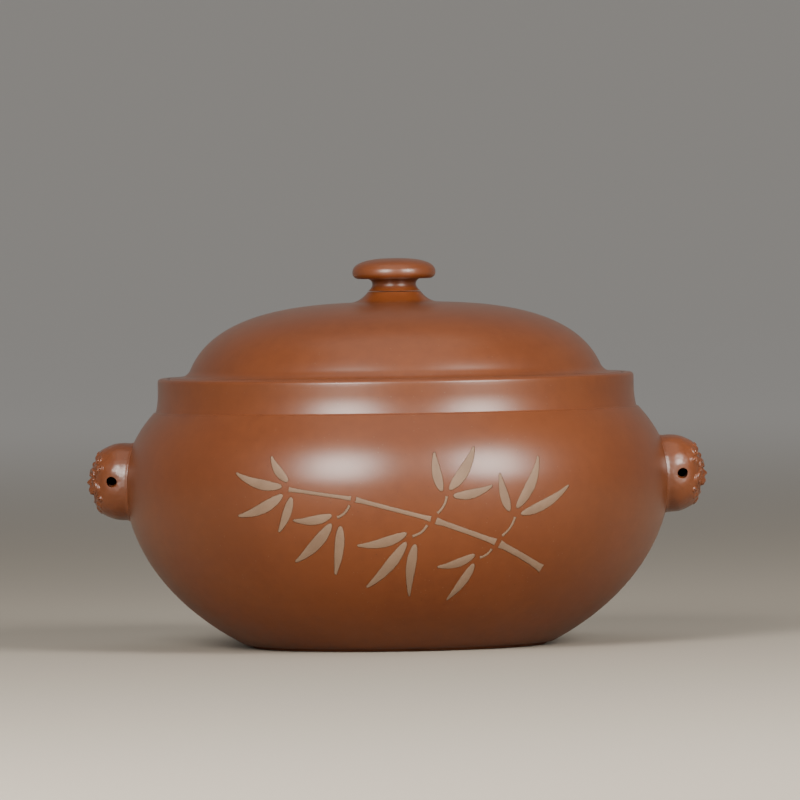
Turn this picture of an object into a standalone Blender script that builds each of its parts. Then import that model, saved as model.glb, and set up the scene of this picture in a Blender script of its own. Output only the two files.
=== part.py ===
"""A clay steam pot: a round-bellied bowl with a hollow steam chimney on its floor, a domed lid that lifts
out of the collar, two hollow lion-head lugs and a bamboo spray inlaid in pale clay. Metres, +Z up."""

import math

import bmesh
import bpy
from mathutils import Matrix, Vector

MM = 0.001

# Fits between separate pieces of clay
JOINT_GAP = 0.3 * MM
LID_SIDE_CLEARANCE = 0.8 * MM
LIP_SIDE_CLEARANCE = 1.2 * MM

# Bowl, from the table up
BASE_RADIUS = 65.0 * MM
FOOT_EDGE_ROUND = 1.5 * MM
FOOT_RING_WIDTH = 14.0 * MM
FOOT_RECESS = 3.0 * MM
FLOOR_THICKNESS = 5.0 * MM
BELLY_RADIUS = 120.0 * MM
BELLY_HEIGHT = 73.0 * MM
BELLY_FULLNESS = 1.96
BOWL_WALL = 6.5 * MM
SHOULDER_RISE = 31.0 * MM
SHOULDER_STEP = 13.4 * MM
SHOULDER_FULLNESS = 2.0
COLLAR_FILLET = 1.0 * MM
COLLAR_SWEEP = 0.9 * MM
COLLAR_SWEEP_RISE = 8.0 * MM
COLLAR_HEIGHT = 15.0 * MM
COLLAR_WALL = 4.4 * MM
RIM_ROUND = 1.6 * MM
LEDGE_DEPTH = 5.4 * MM
LEDGE_WIDTH = 10.3 * MM
MOUTH_EDGE = 3.2 * MM

# Steam chimney, standing on the bowl's floor over its hole
CHIMNEY_HEIGHT = 91.0 * MM
CHIMNEY_INLET_RADIUS = 29.0 * MM
CHIMNEY_TIP_BORE_RADIUS = 6.5 * MM
CHIMNEY_WALL = 5.0 * MM
CHIMNEY_FOOT_SPREAD = 8.0 * MM
CHIMNEY_FOOT_RISE = 12.0 * MM
CHIMNEY_FOOT_EDGE = 1.2 * MM
CHIMNEY_FLARE = 1.7

# Lid
FLANGE_THICKNESS = 5.4 * MM
FLANGE_ROUND = 1.2 * MM
DOME_INSET = 5.9 * MM
DOME_DROP = 14.9 * MM
DOME_RISE = 52.3 * MM
DOME_FULLNESS = 2.9
DOME_FOOT_RISE = 3.5 * MM
LID_WALL = 5.0 * MM
HOLLOW_SPRING = 3.1 * MM
HOLLOW_FULLNESS = 2.5
LIP_DEPTH = 7.5 * MM
LIP_WALL = 5.0 * MM
LIP_CHAMFER = 1.0 * MM
BOSS_HEIGHT = 4.5 * MM
BOSS_SPREAD = 9.0 * MM
BOSS_SWEEP = 2.4
BOSS_SHARES = (0.0, 0.2, 0.42, 0.7)

# Knob, luted on the boss at the top of the lid
KNOB_RADIUS = 18.3 * MM
KNOB_CROWN = 6.4 * MM
KNOB_UNDERCUT = 2.6 * MM
KNOB_EDGE_ROUND = 2.8 * MM
KNOB_FULLNESS = 2.5
KNOB_NECK_RADIUS = 9.6 * MM
KNOB_NECK_HEIGHT = 5.4 * MM
KNOB_NECK_ROUND = 1.2 * MM
KNOB_NECK_FLARE = 2.0 * MM
KNOB_NECK_FLARE_RISE = 3.4 * MM
KNOB_NECK_SHARES = (1.0, 0.6, 0.3, 0.0)
KNOB_EDGE_TURNS = (35, 65, 90)

# Lion-head lugs, hollow, luted on the belly at +X and -X
HEAD_ABOVE_WIDEST = 1.0 * MM
HEAD_REACH = 14.1 * MM
HEAD_HALF_WIDTH = 17.5 * MM
HEAD_HALF_HEIGHT = 17.0 * MM
HEAD_FULLNESS = 2.25
HEAD_WALL = 4.2 * MM
HEAD_SUNK_SHARE = 0.5
HOLLOW_SUNK_SHARE = 0.375
FACE_SHARE = 0.72
RELIEF_UNIT = 1.0 * MM
VENT_RADIUS = 2.3 * MM
VENT_OFFSET = 5.3 * MM
VENT_SLANT = 0.2

# The lion's face, on a plane that runs from -1 to 1 both ways and is the same left and right.
# Mounds and hollows: height in mm, middle across and up, half sizes across and up, turn in degrees
FACE_MOUNDS = (
    (0.5, 0.00, 0.58, 0.44, 0.26, 0),
    (1.0, 0.00, -0.20, 0.52, 0.40, 0),
    (1.0, 0.00, -0.02, 0.23, 0.15, 0),
    (0.7, 0.17, -0.06, 0.12, 0.11, 0),
    (-0.6, 0.36, 0.16, 0.30, 0.24, 0),
    (1.3, 0.37, 0.15, 0.19, 0.17, 0),
    (0.8, 0.58, -0.04, 0.22, 0.26, 10),
    (1.3, 0.21, -0.27, 0.29, 0.20, -14),
    (0.8, 0.00, -0.73, 0.30, 0.15, 0),
    (2.0, 0.78, 0.44, 0.20, 0.27, -40),
)

# Raised and sunk lines: height in mm, half width and places on the way
FACE_LINES = (
    (0.9, 0.11, (0, 0.42), (0, 0.02)),
    (1.5, 0.14, (0.09, 0.22), (0.20, 0.37), (0.40, 0.43), (0.60, 0.39), (0.70, 0.25)),
    (-1.7, 0.13, (0, -0.50), (0.18, -0.51), (0.36, -0.45), (0.50, -0.30)),
    (0.6, 0.09, (0, -0.65), (0.18, -0.65), (0.38, -0.58), (0.53, -0.43)),
    (1.0, 0.09, (0.64, -0.45), (0.80, -0.32), (0.86, -0.16), (0.83, 0.00)),
)

# Curls of the mane and the beard: direction in degrees, distance from the middle and radius
CURLS = (
    (90, 0.95, 0.21),
    (68, 0.97, 0.21),
    (47, 1.00, 0.20),
    (27, 1.04, 0.165),
    (-32, 1.02, 0.16),
    (-50, 0.99, 0.185),
    (-70, 0.97, 0.195),
    (-90, 0.96, 0.20),
)
CURL_HEIGHT = 1.35

# Band of hair under the curls: height in mm, distance from the middle and half width
MANE_BAND = (0.9, 0.98, 0.36)

# Inlaid bamboo spray on the front of the belly
INLAY_THICKNESS = 1.2 * MM
LEAF_TIP_WIDTH = 0.9 * MM
SPRAY_BELOW_WIDEST = 13.0 * MM
SPRAY_UNIT = 1.0 * MM
CANE_SHARES = (0.0, 0.12, 0.5, 0.88, 1.0)
CANE_WIDENING = (1.25, 1.0, 0.9, 1.0, 1.25)
LEAF_DRAW = 0.72

# Facets
TURNED_STEPS = 60
CHIMNEY_STEPS = 28
KNOB_STEPS = 28
SHOULDER_POINTS = 5
BELLY_POINTS = 11
INSIDE_POINTS = 7
CHIMNEY_POINTS = 8
DOME_POINTS = 11
HOLLOW_POINTS = 9
BUTTON_POINTS = 7
FILLET_POINTS = 4
SWEEP_POINTS = 3
CORNER_POINTS = 3
TIP_POINTS = 7
HEAD_CELLS = 32
HEAD_RINGS = 6
HOLLOW_CELLS = 8
HOLLOW_RINGS = 3
FRONT_SPAN = math.radians(60)
BACK_LEAN = 0.6
VENT_SIDES = 14
LEAF_STATIONS = 8
SMOOTH_ANGLE = math.radians(32)
SLOPE_STEP = 0.05 * MM

# Canes and twigs, in spray units from its middle: start, end, width, and bow as a share of length
CANES = (
    ((73.0, -24.0), (47.2, -12.5), 2.8, 0.0),
    ((45.0, -11.6), (16.8, -1.7), 2.4, 0.0),
    ((14.5, -0.9), (-18.0, 8.0), 2.0, 0.0),
    ((-20.1, 8.5), (-48.0, 12.6), 1.7, 0.0),
)
TWIGS = (
    ((47.8, -8.9), (53.0, -0.9), 1.1, -0.10),
    ((17.4, 1.6), (21.4, 8.8), 1.1, -0.10),
    ((12.9, -3.5), (6.5, -8.2), 1.1, 0.12),
    ((-20.9, 5.6), (-26.5, 0.4), 1.1, 0.12),
    ((43.6, -14.6), (38.5, -18.2), 1.1, 0.12),
)

# Leaves, in spray units: stalk, heading in degrees, length, width, and bow as a share of length
LEAVES = (
    ((55.7, 0.4), 26, 27, 4.4, -0.06),
    ((53.4, 3.0), 62, 25, 4.8, -0.05),
    ((50.2, 1.8), 106, 17, 4.0, 0.05),
    ((24.3, 9.0), 13, 18, 4.0, -0.07),
    ((22.6, 11.7), 56, 22, 4.8, -0.05),
    ((19.3, 11.1), 99, 17, 4.2, 0.05),
    ((3.9, -6.8), 193, 23, 4.2, 0.07),
    ((3.6, -10.7), 225, 28, 4.8, 0.06),
    ((7.8, -11.8), 264, 23, 4.6, -0.04),
    ((-29.0, 1.4), 187, 18, 4.0, 0.07),
    ((-29.4, -2.3), 220, 26, 4.8, 0.06),
    ((-25.4, -3.4), 256, 22, 4.4, 0.04),
    ((35.8, -16.9), 196, 18, 3.8, 0.07),
    ((36.0, -20.9), 236, 19, 4.4, 0.05),
    ((-48.4, 16.1), 130, 14, 3.8, 0.06),
    ((-51.2, 13.9), 166, 24, 4.4, 0.07),
    ((-51.0, 10.4), 202, 25, 4.6, 0.07),
    ((-46.9, 9.2), 243, 17, 4.0, 0.05),
)

# Name, colour and roughness of each clay
BROWN_CLAY = ("brown_clay", (0.19, 0.052, 0.016), 0.38)
UNPOLISHED_CLAY = ("unpolished_clay", (0.20, 0.07, 0.032), 0.62)
PALE_CLAY = ("pale_clay", (0.27, 0.18, 0.115), 0.42)

# Radii and heights that follow from the sizes above
SHOULDER_RADIUS = BELLY_RADIUS - SHOULDER_STEP
SHOULDER_HEIGHT = BELLY_HEIGHT + SHOULDER_RISE
COLLAR_LEAN = math.atan(2 * COLLAR_SWEEP / COLLAR_SWEEP_RISE)
COLLAR_RADIUS = SHOULDER_RADIUS - COLLAR_FILLET * math.cos(COLLAR_LEAN) - COLLAR_SWEEP
COLLAR_INNER_RADIUS = COLLAR_RADIUS - COLLAR_WALL
RIM_HEIGHT = SHOULDER_HEIGHT + COLLAR_HEIGHT
LEDGE_HEIGHT = RIM_HEIGHT - LEDGE_DEPTH
MOUTH_RADIUS = COLLAR_INNER_RADIUS - LEDGE_WIDTH
MOUTH_UNDERSIDE = LEDGE_HEIGHT - MOUTH_EDGE
FLOOR_HEIGHT = FOOT_RECESS + FLOOR_THICKNESS
CHIMNEY_FOOT_HEIGHT = FLOOR_HEIGHT + JOINT_GAP
FLANGE_RADIUS = COLLAR_INNER_RADIUS - LID_SIDE_CLEARANCE
FLANGE_HEIGHT = LEDGE_HEIGHT + JOINT_GAP
FLANGE_TOP = FLANGE_HEIGHT + FLANGE_THICKNESS
LIP_RADIUS = MOUTH_RADIUS - LIP_SIDE_CLEARANCE
DOME_RADIUS = FLANGE_RADIUS - DOME_INSET
DOME_CENTRE_HEIGHT = FLANGE_HEIGHT - DOME_DROP
DOME_CROWN_HEIGHT = DOME_CENTRE_HEIGHT + DOME_RISE
BOSS_TOP_HEIGHT = DOME_CROWN_HEIGHT + BOSS_HEIGHT
KNOB_SEAT_RADIUS = KNOB_NECK_RADIUS + KNOB_NECK_FLARE
KNOB_SEAT_HEIGHT = BOSS_TOP_HEIGHT + JOINT_GAP
HEAD_HEIGHT = BELLY_HEIGHT + HEAD_ABOVE_WIDEST
SPRAY_HEIGHT = BELLY_HEIGHT - SPRAY_BELOW_WIDEST


def clear_scene():
    for old in list(bpy.data.objects):
        bpy.data.objects.remove(old, do_unlink=True)


def new_collection(name):
    made = bpy.data.collections.new(name)
    bpy.context.scene.collection.children.link(made)
    return made


def clay_material(name, colour, roughness):
    material = bpy.data.materials.new(name)
    material.use_nodes = True
    shader = material.node_tree.nodes["Principled BSDF"]
    shader.inputs["Base Color"].default_value = (*colour, 1.0)
    shader.inputs["Roughness"].default_value = roughness
    shader.inputs["Metallic"].default_value = 0.0
    material.diffuse_color = (*colour, 1.0)
    return material


def add_object(name, mesh, collection, material=None):
    made = bpy.data.objects.new(name, mesh)
    collection.objects.link(made)
    if material:
        mesh.materials.append(material)
    return made


def add_from_bmesh(name, shape, collection, material=None):
    mesh = bpy.data.meshes.new(name)
    shape.to_mesh(mesh)
    shape.free()
    return add_object(name, mesh, collection, material)


def apply_modifiers(made):
    """Keep the shape that the modifiers give, with soft shading across its shallow edges."""
    graph = bpy.context.evaluated_depsgraph_get()
    shaped = bpy.data.meshes.new_from_object(made.evaluated_get(graph))
    plain = made.data
    made.modifiers.clear()
    made.data = shaped
    bpy.data.meshes.remove(plain)
    shaped.shade_smooth()
    shaped.set_sharp_from_angle(angle=SMOOTH_ANGLE)


def cutter_only(made):
    """A cutter is no piece of the pot."""
    made.hide_render = True
    made.display_type = "WIRE"
    return made


def cut(target, cutter):
    boolean = target.modifiers.new("cut_" + cutter.name, "BOOLEAN")
    boolean.operation = "DIFFERENCE"
    boolean.solver = "EXACT"
    boolean.object = cutter


def turned(name, profile, steps, collection, material=None, ring=False):
    """A solid turned about Z from (radius, height) points that run down its outer side."""
    outline = bpy.data.meshes.new(name)
    corners = [(radius, 0.0, height) for radius, height in profile]
    edges = [(i, i + 1) for i in range(len(corners) - 1)]
    if ring:
        edges.append((len(corners) - 1, 0))
    outline.from_pydata(corners, edges, [])
    spun = add_object(name, outline, collection, material)
    screw = spun.modifiers.new("turn", "SCREW")
    screw.axis = "Z"
    screw.angle = math.tau
    screw.steps = steps
    screw.render_steps = steps
    screw.use_merge_vertices = True
    screw.merge_threshold = 0.01 * MM
    apply_modifiers(spun)
    return spun


def arc(centre, radius, start, end, points):
    """Points of a circle's arc, angles in degrees from +X towards +Z, both ends included."""
    angles = [math.radians(start + (end - start) * i / (points - 1)) for i in range(points)]
    return [(centre[0] + radius * math.cos(a), centre[1] + radius * math.sin(a)) for a in angles]


def full_rise(run, widest, reached, fullness):
    """Rise of the superellipse that narrows from radius `widest` to `reached` over the height `run`."""
    return run / (1.0 - (reached / widest) ** fullness) ** (1.0 / fullness)


def across_after(run, rise, widest, fullness):
    """How far such a superellipse still reaches across at the distance `run` along its other axis."""
    return widest * max(0.0, 1.0 - abs(run / rise) ** fullness) ** (1.0 / fullness)


def swell(base, widest, rise, fullness, first, last, points):
    """(radius, height) points of a superellipse that is widest at height `base`, between two heights."""

    def turn_at(height):
        share = max(-1.0, min(1.0, (height - base) / rise))
        return math.copysign(math.asin(abs(share) ** (fullness / 2.0)), share)

    made = []
    for i in range(points):
        turn = turn_at(first) + (turn_at(last) - turn_at(first)) * i / (points - 1)
        radius = widest * abs(math.cos(turn)) ** (2.0 / fullness)
        height = rise * math.copysign(abs(math.sin(turn)) ** (2.0 / fullness), turn)
        made.append((radius, base + height))
    return made


SHOULDER_FULL_RISE = full_rise(SHOULDER_RISE, BELLY_RADIUS, SHOULDER_RADIUS, SHOULDER_FULLNESS)
BELLY_FULL_DROP = full_rise(BELLY_HEIGHT, BELLY_RADIUS, BASE_RADIUS, BELLY_FULLNESS)
SHOULDER_CURVE = (BELLY_HEIGHT, BELLY_RADIUS, SHOULDER_FULL_RISE, SHOULDER_FULLNESS)
BELLY_CURVE = (BELLY_HEIGHT, BELLY_RADIUS, BELLY_FULL_DROP, BELLY_FULLNESS)
DOME_CURVE = (DOME_CENTRE_HEIGHT, DOME_RADIUS, DOME_RISE, DOME_FULLNESS)


def belly_radius_at(height):
    """Radius of the bowl's outer face at a height between the foot and the shoulder."""
    base, widest, rise, fullness = SHOULDER_CURVE if height > BELLY_HEIGHT else BELLY_CURVE
    return across_after(height - base, rise, widest, fullness)


def belly_slope_at(height):
    """Change of the outer radius for each unit of height."""
    spread = belly_radius_at(height + SLOPE_STEP) - belly_radius_at(height - SLOPE_STEP)
    return spread / (2 * SLOPE_STEP)


def bowl_outside(grow=0.0):
    """Outer face from the shoulder down to the foot's edge, moved outwards by `grow`."""
    shoulder = swell(*SHOULDER_CURVE, SHOULDER_HEIGHT, BELLY_HEIGHT, SHOULDER_POINTS)
    belly = swell(*BELLY_CURVE, BELLY_HEIGHT, FOOT_EDGE_ROUND, BELLY_POINTS)
    return [(radius + grow, height) for radius, height in shoulder + belly[1:]]


def bowl_inside():
    """Inner face from the floor up to the underside of the mouth."""
    widest = BELLY_RADIUS - BOWL_WALL
    drop = BELLY_FULL_DROP - BOWL_WALL
    rise = full_rise(MOUTH_UNDERSIDE - BELLY_HEIGHT, widest, MOUTH_RADIUS, SHOULDER_FULLNESS)
    lower_curve = (BELLY_HEIGHT, widest, drop, BELLY_FULLNESS)
    upper_curve = (BELLY_HEIGHT, widest, rise, SHOULDER_FULLNESS)
    lower = swell(*lower_curve, FLOOR_HEIGHT, BELLY_HEIGHT, INSIDE_POINTS)
    upper = swell(*upper_curve, BELLY_HEIGHT, MOUTH_UNDERSIDE, SHOULDER_POINTS)
    return lower + upper[1:]


def bowl_profile():
    """A closed ring of points: over the rim, down the outside, under the foot, up inside to the ledge."""
    rim = arc((COLLAR_INNER_RADIUS + RIM_ROUND, RIM_HEIGHT - RIM_ROUND), RIM_ROUND, 180, 90, CORNER_POINTS)
    rim += arc((COLLAR_RADIUS - RIM_ROUND, RIM_HEIGHT - RIM_ROUND), RIM_ROUND, 90, 0, CORNER_POINTS)
    fillet_centre = (SHOULDER_RADIUS, SHOULDER_HEIGHT + COLLAR_FILLET)
    fillet = arc(fillet_centre, COLLAR_FILLET, 180 + math.degrees(COLLAR_LEAN), 270, FILLET_POINTS)
    collar = []
    for share in (i / SWEEP_POINTS for i in range(SWEEP_POINTS)):
        height = fillet[0][1] + COLLAR_SWEEP_RISE * (1.0 - share)
        collar.append((COLLAR_RADIUS + COLLAR_SWEEP * share**2, height))
    ring_inner = BASE_RADIUS - FOOT_RING_WIDTH
    foot = [
        (BASE_RADIUS - FOOT_EDGE_ROUND, 0.0),
        (ring_inner + FOOT_RECESS, 0.0),
        (ring_inner, FOOT_RECESS),
        (CHIMNEY_INLET_RADIUS, FOOT_RECESS),
        (CHIMNEY_INLET_RADIUS, FLOOR_HEIGHT),
    ]
    ledge = [
        (MOUTH_RADIUS, LEDGE_HEIGHT),
        (COLLAR_INNER_RADIUS, LEDGE_HEIGHT),
    ]
    return rim + collar + fillet + bowl_outside()[1:] + foot + bowl_inside() + ledge


def chimney_bore(rise):
    """Bore radius at a height above the chimney's foot."""
    taper = (1.0 - rise / CHIMNEY_HEIGHT) ** CHIMNEY_FLARE
    return CHIMNEY_TIP_BORE_RADIUS + (CHIMNEY_INLET_RADIUS - CHIMNEY_TIP_BORE_RADIUS) * taper


def chimney_outside(rise):
    """Outer radius at a height above the chimney's foot, which spreads where it meets the floor."""
    skirt = max(0.0, 1.0 - rise / CHIMNEY_FOOT_RISE) ** 2
    return chimney_bore(rise) + CHIMNEY_WALL + CHIMNEY_FOOT_SPREAD * skirt


def chimney_profile():
    """A closed ring of points: over the tip, down the outside, under the foot and up the flared bore."""
    half_wall = CHIMNEY_WALL / 2
    tip_centre = (CHIMNEY_TIP_BORE_RADIUS + half_wall, CHIMNEY_FOOT_HEIGHT + CHIMNEY_HEIGHT - half_wall)
    tip = arc(tip_centre, half_wall, 180, 0, TIP_POINTS)
    rises = [CHIMNEY_HEIGHT * (i / CHIMNEY_POINTS) ** 1.5 for i in range(1, CHIMNEY_POINTS)]
    outer = [(chimney_outside(rise), CHIMNEY_FOOT_HEIGHT + rise) for rise in reversed(rises)]
    foot_radius = chimney_outside(CHIMNEY_FOOT_EDGE)
    foot = [
        (foot_radius, CHIMNEY_FOOT_HEIGHT + CHIMNEY_FOOT_EDGE),
        (foot_radius, CHIMNEY_FOOT_HEIGHT),
        (CHIMNEY_INLET_RADIUS, CHIMNEY_FOOT_HEIGHT),
    ]
    bore = [(chimney_bore(rise), CHIMNEY_FOOT_HEIGHT + rise) for rise in rises]
    return tip + outer + foot + bore


def dome_radius_at(height):
    """Radius of the dome's outer face at a height above its foot, measured from the table."""
    return across_after(height - DOME_CENTRE_HEIGHT, DOME_RISE, DOME_RADIUS, DOME_FULLNESS)


def dome_foot():
    """Points of the hollow curve from the dome's flank to the flange's flat top."""
    start = FLANGE_TOP + DOME_FOOT_RISE
    spread = dome_radius_at(start - SLOPE_STEP) - dome_radius_at(start + SLOPE_STEP)
    lean = math.atan(spread / (2 * SLOPE_STEP))
    radius = DOME_FOOT_RISE / (1.0 - math.sin(lean))
    centre = (dome_radius_at(start) + radius * math.cos(lean), FLANGE_TOP + radius)
    return arc(centre, radius, 180 + math.degrees(lean), 270, FILLET_POINTS)


def lid_profile():
    """Open points with both ends on the axis: boss, dome, flange, lip and the dome's hollow side."""
    boss_foot = KNOB_SEAT_RADIUS + BOSS_SPREAD
    dome_rise = across_after(boss_foot, DOME_RADIUS, DOME_RISE, DOME_FULLNESS)
    boss_foot_height = DOME_CENTRE_HEIGHT + dome_rise
    boss = [(0.0, BOSS_TOP_HEIGHT)]
    for share in BOSS_SHARES:
        drop = (BOSS_TOP_HEIGHT - boss_foot_height) * (1.0 - share) ** BOSS_SWEEP
        boss.append((KNOB_SEAT_RADIUS + BOSS_SPREAD * share, boss_foot_height + drop))
    dome = swell(*DOME_CURVE, boss_foot_height, FLANGE_TOP + DOME_FOOT_RISE, DOME_POINTS)
    edge = arc((FLANGE_RADIUS - FLANGE_ROUND, FLANGE_TOP - FLANGE_ROUND), FLANGE_ROUND, 90, 0, FILLET_POINTS)
    lip_foot = FLANGE_HEIGHT - LIP_DEPTH
    lip_inner = LIP_RADIUS - LIP_WALL
    lip = [
        (FLANGE_RADIUS, FLANGE_HEIGHT),
        (LIP_RADIUS, FLANGE_HEIGHT),
        (LIP_RADIUS, lip_foot + LIP_CHAMFER),
        (LIP_RADIUS - LIP_CHAMFER, lip_foot),
        (lip_inner, lip_foot),
    ]
    apex = DOME_CROWN_HEIGHT - LID_WALL
    hollow_foot = FLANGE_HEIGHT + HOLLOW_SPRING
    hollow_curve = (hollow_foot, lip_inner, apex - hollow_foot, HOLLOW_FULLNESS)
    hollow = swell(*hollow_curve, hollow_foot, apex, HOLLOW_POINTS)[:-1]
    return boss + dome + dome_foot()[1:] + edge + lip + hollow + [(0.0, apex)]


def knob_profile():
    """Open points with both ends on the axis: the button's crown, its rolled edge and the waisted neck."""
    underside = KNOB_SEAT_HEIGHT + KNOB_NECK_HEIGHT
    widest_height = underside + KNOB_UNDERCUT
    apex = widest_height + KNOB_CROWN
    crown_curve = (widest_height, KNOB_RADIUS, KNOB_CROWN, KNOB_FULLNESS)
    crown = swell(*crown_curve, apex, widest_height, BUTTON_POINTS)[1:]
    edge = []
    for turn in map(math.radians, KNOB_EDGE_TURNS):
        inset = KNOB_EDGE_ROUND * (1.0 - math.cos(turn))
        edge.append((KNOB_RADIUS - inset, widest_height - KNOB_UNDERCUT * math.sin(turn)))
    root = (KNOB_NECK_RADIUS + KNOB_NECK_ROUND, underside - KNOB_NECK_ROUND)
    neck = arc(root, KNOB_NECK_ROUND, 90, 180, CORNER_POINTS)
    for share in KNOB_NECK_SHARES:
        radius = KNOB_NECK_RADIUS + KNOB_NECK_FLARE * (1.0 - share) ** 2
        neck.append((radius, KNOB_SEAT_HEIGHT + KNOB_NECK_FLARE_RISE * share))
    return [(0.0, apex)] + crown + edge + neck + [(0.0, KNOB_SEAT_HEIGHT)]


def hill(distance):
    """A smooth hill, 1 high at its middle and gone where the distance is 1."""
    return max(0.0, 1.0 - distance * distance) ** 2


def mound(across, up, mark):
    """Height of one mound or hollow of the face."""
    height, middle_across, middle_up, half_across, half_up, turn = mark
    dx, dy = across - middle_across, up - middle_up
    c, s = math.cos(math.radians(turn)), math.sin(math.radians(turn))
    return height * hill(math.hypot((c * dx + s * dy) / half_across, (c * dy - s * dx) / half_up))


def face_line(across, up, height, half, *places):
    """Height of a raised or sunk line of the face."""
    nearest = 1.0
    for (x0, y0), (x1, y1) in zip(places, places[1:]):
        dx, dy = x1 - x0, y1 - y0
        share = ((across - x0) * dx + (up - y0) * dy) / (dx * dx + dy * dy)
        share = max(0.0, min(1.0, share))
        nearest = min(nearest, math.hypot(across - x0 - share * dx, up - y0 - share * dy) / half)
    return height * hill(nearest)


def mane(across, up):
    """Height of the band of hair over the brow and under the chin."""
    height, away, half = MANE_BAND
    return height * hill((math.hypot(across, up) - away) / half) * max(0.0, min(1.0, 2 * abs(up) - 0.5))


def curl(across, up, degrees, away, radius):
    """Height of one curl of the mane, a ball's cap."""
    angle = math.radians(degrees)
    gap = math.hypot(across - away * math.cos(angle), up - away * math.sin(angle)) / radius
    return CURL_HEIGHT * math.sqrt(max(0.0, 1.0 - gap * gap))


def lion_face(across, up):
    """Relief of the lion's face in mm. Both run from -1 to 1 over the face."""
    side = abs(across)
    height = sum(mound(side, up, mark) for mark in FACE_MOUNDS)
    height += sum(face_line(side, up, *mark) for mark in FACE_LINES)
    return max(height, mane(side, up), *(curl(side, up, *mark) for mark in CURLS))


def head_ball(cells, rings):
    """Directions and faces of a ball, flat behind, with an even square grid over its front at +X."""
    steps = [math.tan(FRONT_SPAN) * (2 * i / cells - 1) for i in range(cells + 1)]
    ways = [Vector((1.0, y, z)) for z in steps for y in steps]
    row = cells + 1
    faces = []
    for j in range(cells):
        for i in range(cells):
            corner = i + j * row
            faces.append((corner, corner + 1, corner + row + 1, corner + row))
    edge = list(range(cells)) + [cells + j * row for j in range(cells)]
    edge += [cells * row + i for i in range(cells, 0, -1)] + [j * row for j in range(cells, 0, -1)]
    rim = [ways[i] for i in edge]
    for ring in range(1, rings + 1):
        made = list(range(len(ways), len(ways) + len(rim)))
        ways += [Vector((1.0 - (1.0 + BACK_LEAN) * ring / rings, way.y, way.z)) for way in rim]
        faces += [(edge[i - 1], made[i - 1], made[i], edge[i]) for i in range(len(rim))]
        edge = made
    behind = len(ways)
    ways.append(Vector((-1.0, 0.0, 0.0)))
    faces += [(edge[i - 1], behind, edge[i]) for i in range(len(rim))]
    return [way.normalized() for way in ways], faces, edge + [behind]


def head_shape(cells, rings, inset, relief, sunk, place):
    """A rounded head with its face at +X, its flat back `sunk` times its reach behind, put in place."""
    ways, faces, behind = head_ball(cells, rings)
    sizes = (HEAD_REACH, HEAD_HALF_WIDTH, HEAD_HALF_HEIGHT)
    head = bmesh.new()
    corners = []
    for way in ways:
        total = sum((abs(part) / size) ** HEAD_FULLNESS for part, size in zip(way, sizes))
        point = way * total ** (-1.0 / HEAD_FULLNESS)
        height = -inset
        if way.x > 0:
            across = point.y / (HEAD_HALF_WIDTH * FACE_SHARE)
            up = point.z / (HEAD_HALF_HEIGHT * FACE_SHARE)
            height += relief * lion_face(across, up)
        corners.append(head.verts.new(point + height * way))
    for i in behind:
        corners[i].co.x = -sunk * HEAD_REACH
    for face in faces:
        head.faces.new([corners[i] for i in face])
    bmesh.ops.recalc_face_normals(head, faces=head.faces[:])
    head.transform(place)
    return head


def vent_shape(place, front):
    """A round bar that pierces both cheeks of a head and rises from the cheek at `front` on Y."""
    bar = bmesh.new()
    middle = Matrix.Translation((VENT_OFFSET, 0.0, VENT_SLANT * HEAD_HALF_WIDTH))
    turn = Matrix.Rotation(math.radians(90) - front * math.atan(VENT_SLANT), 4, "X")
    bmesh.ops.create_cone(
        bar,
        cap_ends=True,
        segments=VENT_SIDES,
        radius1=VENT_RADIUS,
        radius2=VENT_RADIUS,
        depth=3 * HEAD_HALF_WIDTH,
        matrix=place @ middle @ turn,
    )
    return bar


def lion_head(name, facing, front, parts, cutters, belly_envelope, clay):
    """One hollow head luted on the belly. `facing` is the turn about Z that points its face outwards."""
    place = Matrix.Rotation(facing, 4, "Z") @ Matrix.Translation((BELLY_RADIUS, 0.0, HEAD_HEIGHT))
    solid = head_shape(HEAD_CELLS, HEAD_RINGS, 0.0, RELIEF_UNIT, HEAD_SUNK_SHARE, place)
    head = add_from_bmesh(name, solid, parts, clay)
    hollow_shape = head_shape(HOLLOW_CELLS, HOLLOW_RINGS, HEAD_WALL, 0.0, HOLLOW_SUNK_SHARE, place)
    hollow = cutter_only(add_from_bmesh(name + "_hollow", hollow_shape, cutters))
    vent = cutter_only(add_from_bmesh(name + "_vent", vent_shape(place, front), cutters))
    for cutter in (hollow, vent, belly_envelope):
        cut(head, cutter)
    apply_modifiers(head)


def on_belly(point, depth):
    """The place `depth` under the bowl's front for a point of (arc length from its middle, height)."""
    turn = point.x / BELLY_RADIUS
    slope = belly_slope_at(point.y)
    inward = depth / math.hypot(1.0, slope)
    radius = belly_radius_at(point.y) - inward
    return Vector((radius * math.sin(turn), -radius * math.cos(turn), point.y + inward * slope))


def add_bar(bar, spine, halves, top, bottom):
    """Add to a bmesh a curved bar let into the belly along a spine, from depth `top` to depth `bottom`."""
    rows = []
    last = len(spine) - 1
    for i, (point, half) in enumerate(zip(spine, halves)):
        along = (spine[min(i + 1, last)] - spine[max(i - 1, 0)]).normalized()
        aside = Vector((-along.y, along.x)) * half
        left, right = point + aside, point - aside
        corners = ((left, top), (right, top), (right, bottom), (left, bottom))
        rows.append([bar.verts.new(on_belly(corner, depth)) for corner, depth in corners])
    for first, second in zip(rows, rows[1:]):
        for i in range(4):
            j = (i + 1) % 4
            bar.faces.new((first[i], first[j], second[j], second[i]))
    bar.faces.new(rows[0][::-1])
    bar.faces.new(rows[-1])


def spray_point(point):
    """A point of the spray as (arc length, height) on the belly."""
    return Vector((point[0] * SPRAY_UNIT, SPRAY_HEIGHT + point[1] * SPRAY_UNIT))


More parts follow.
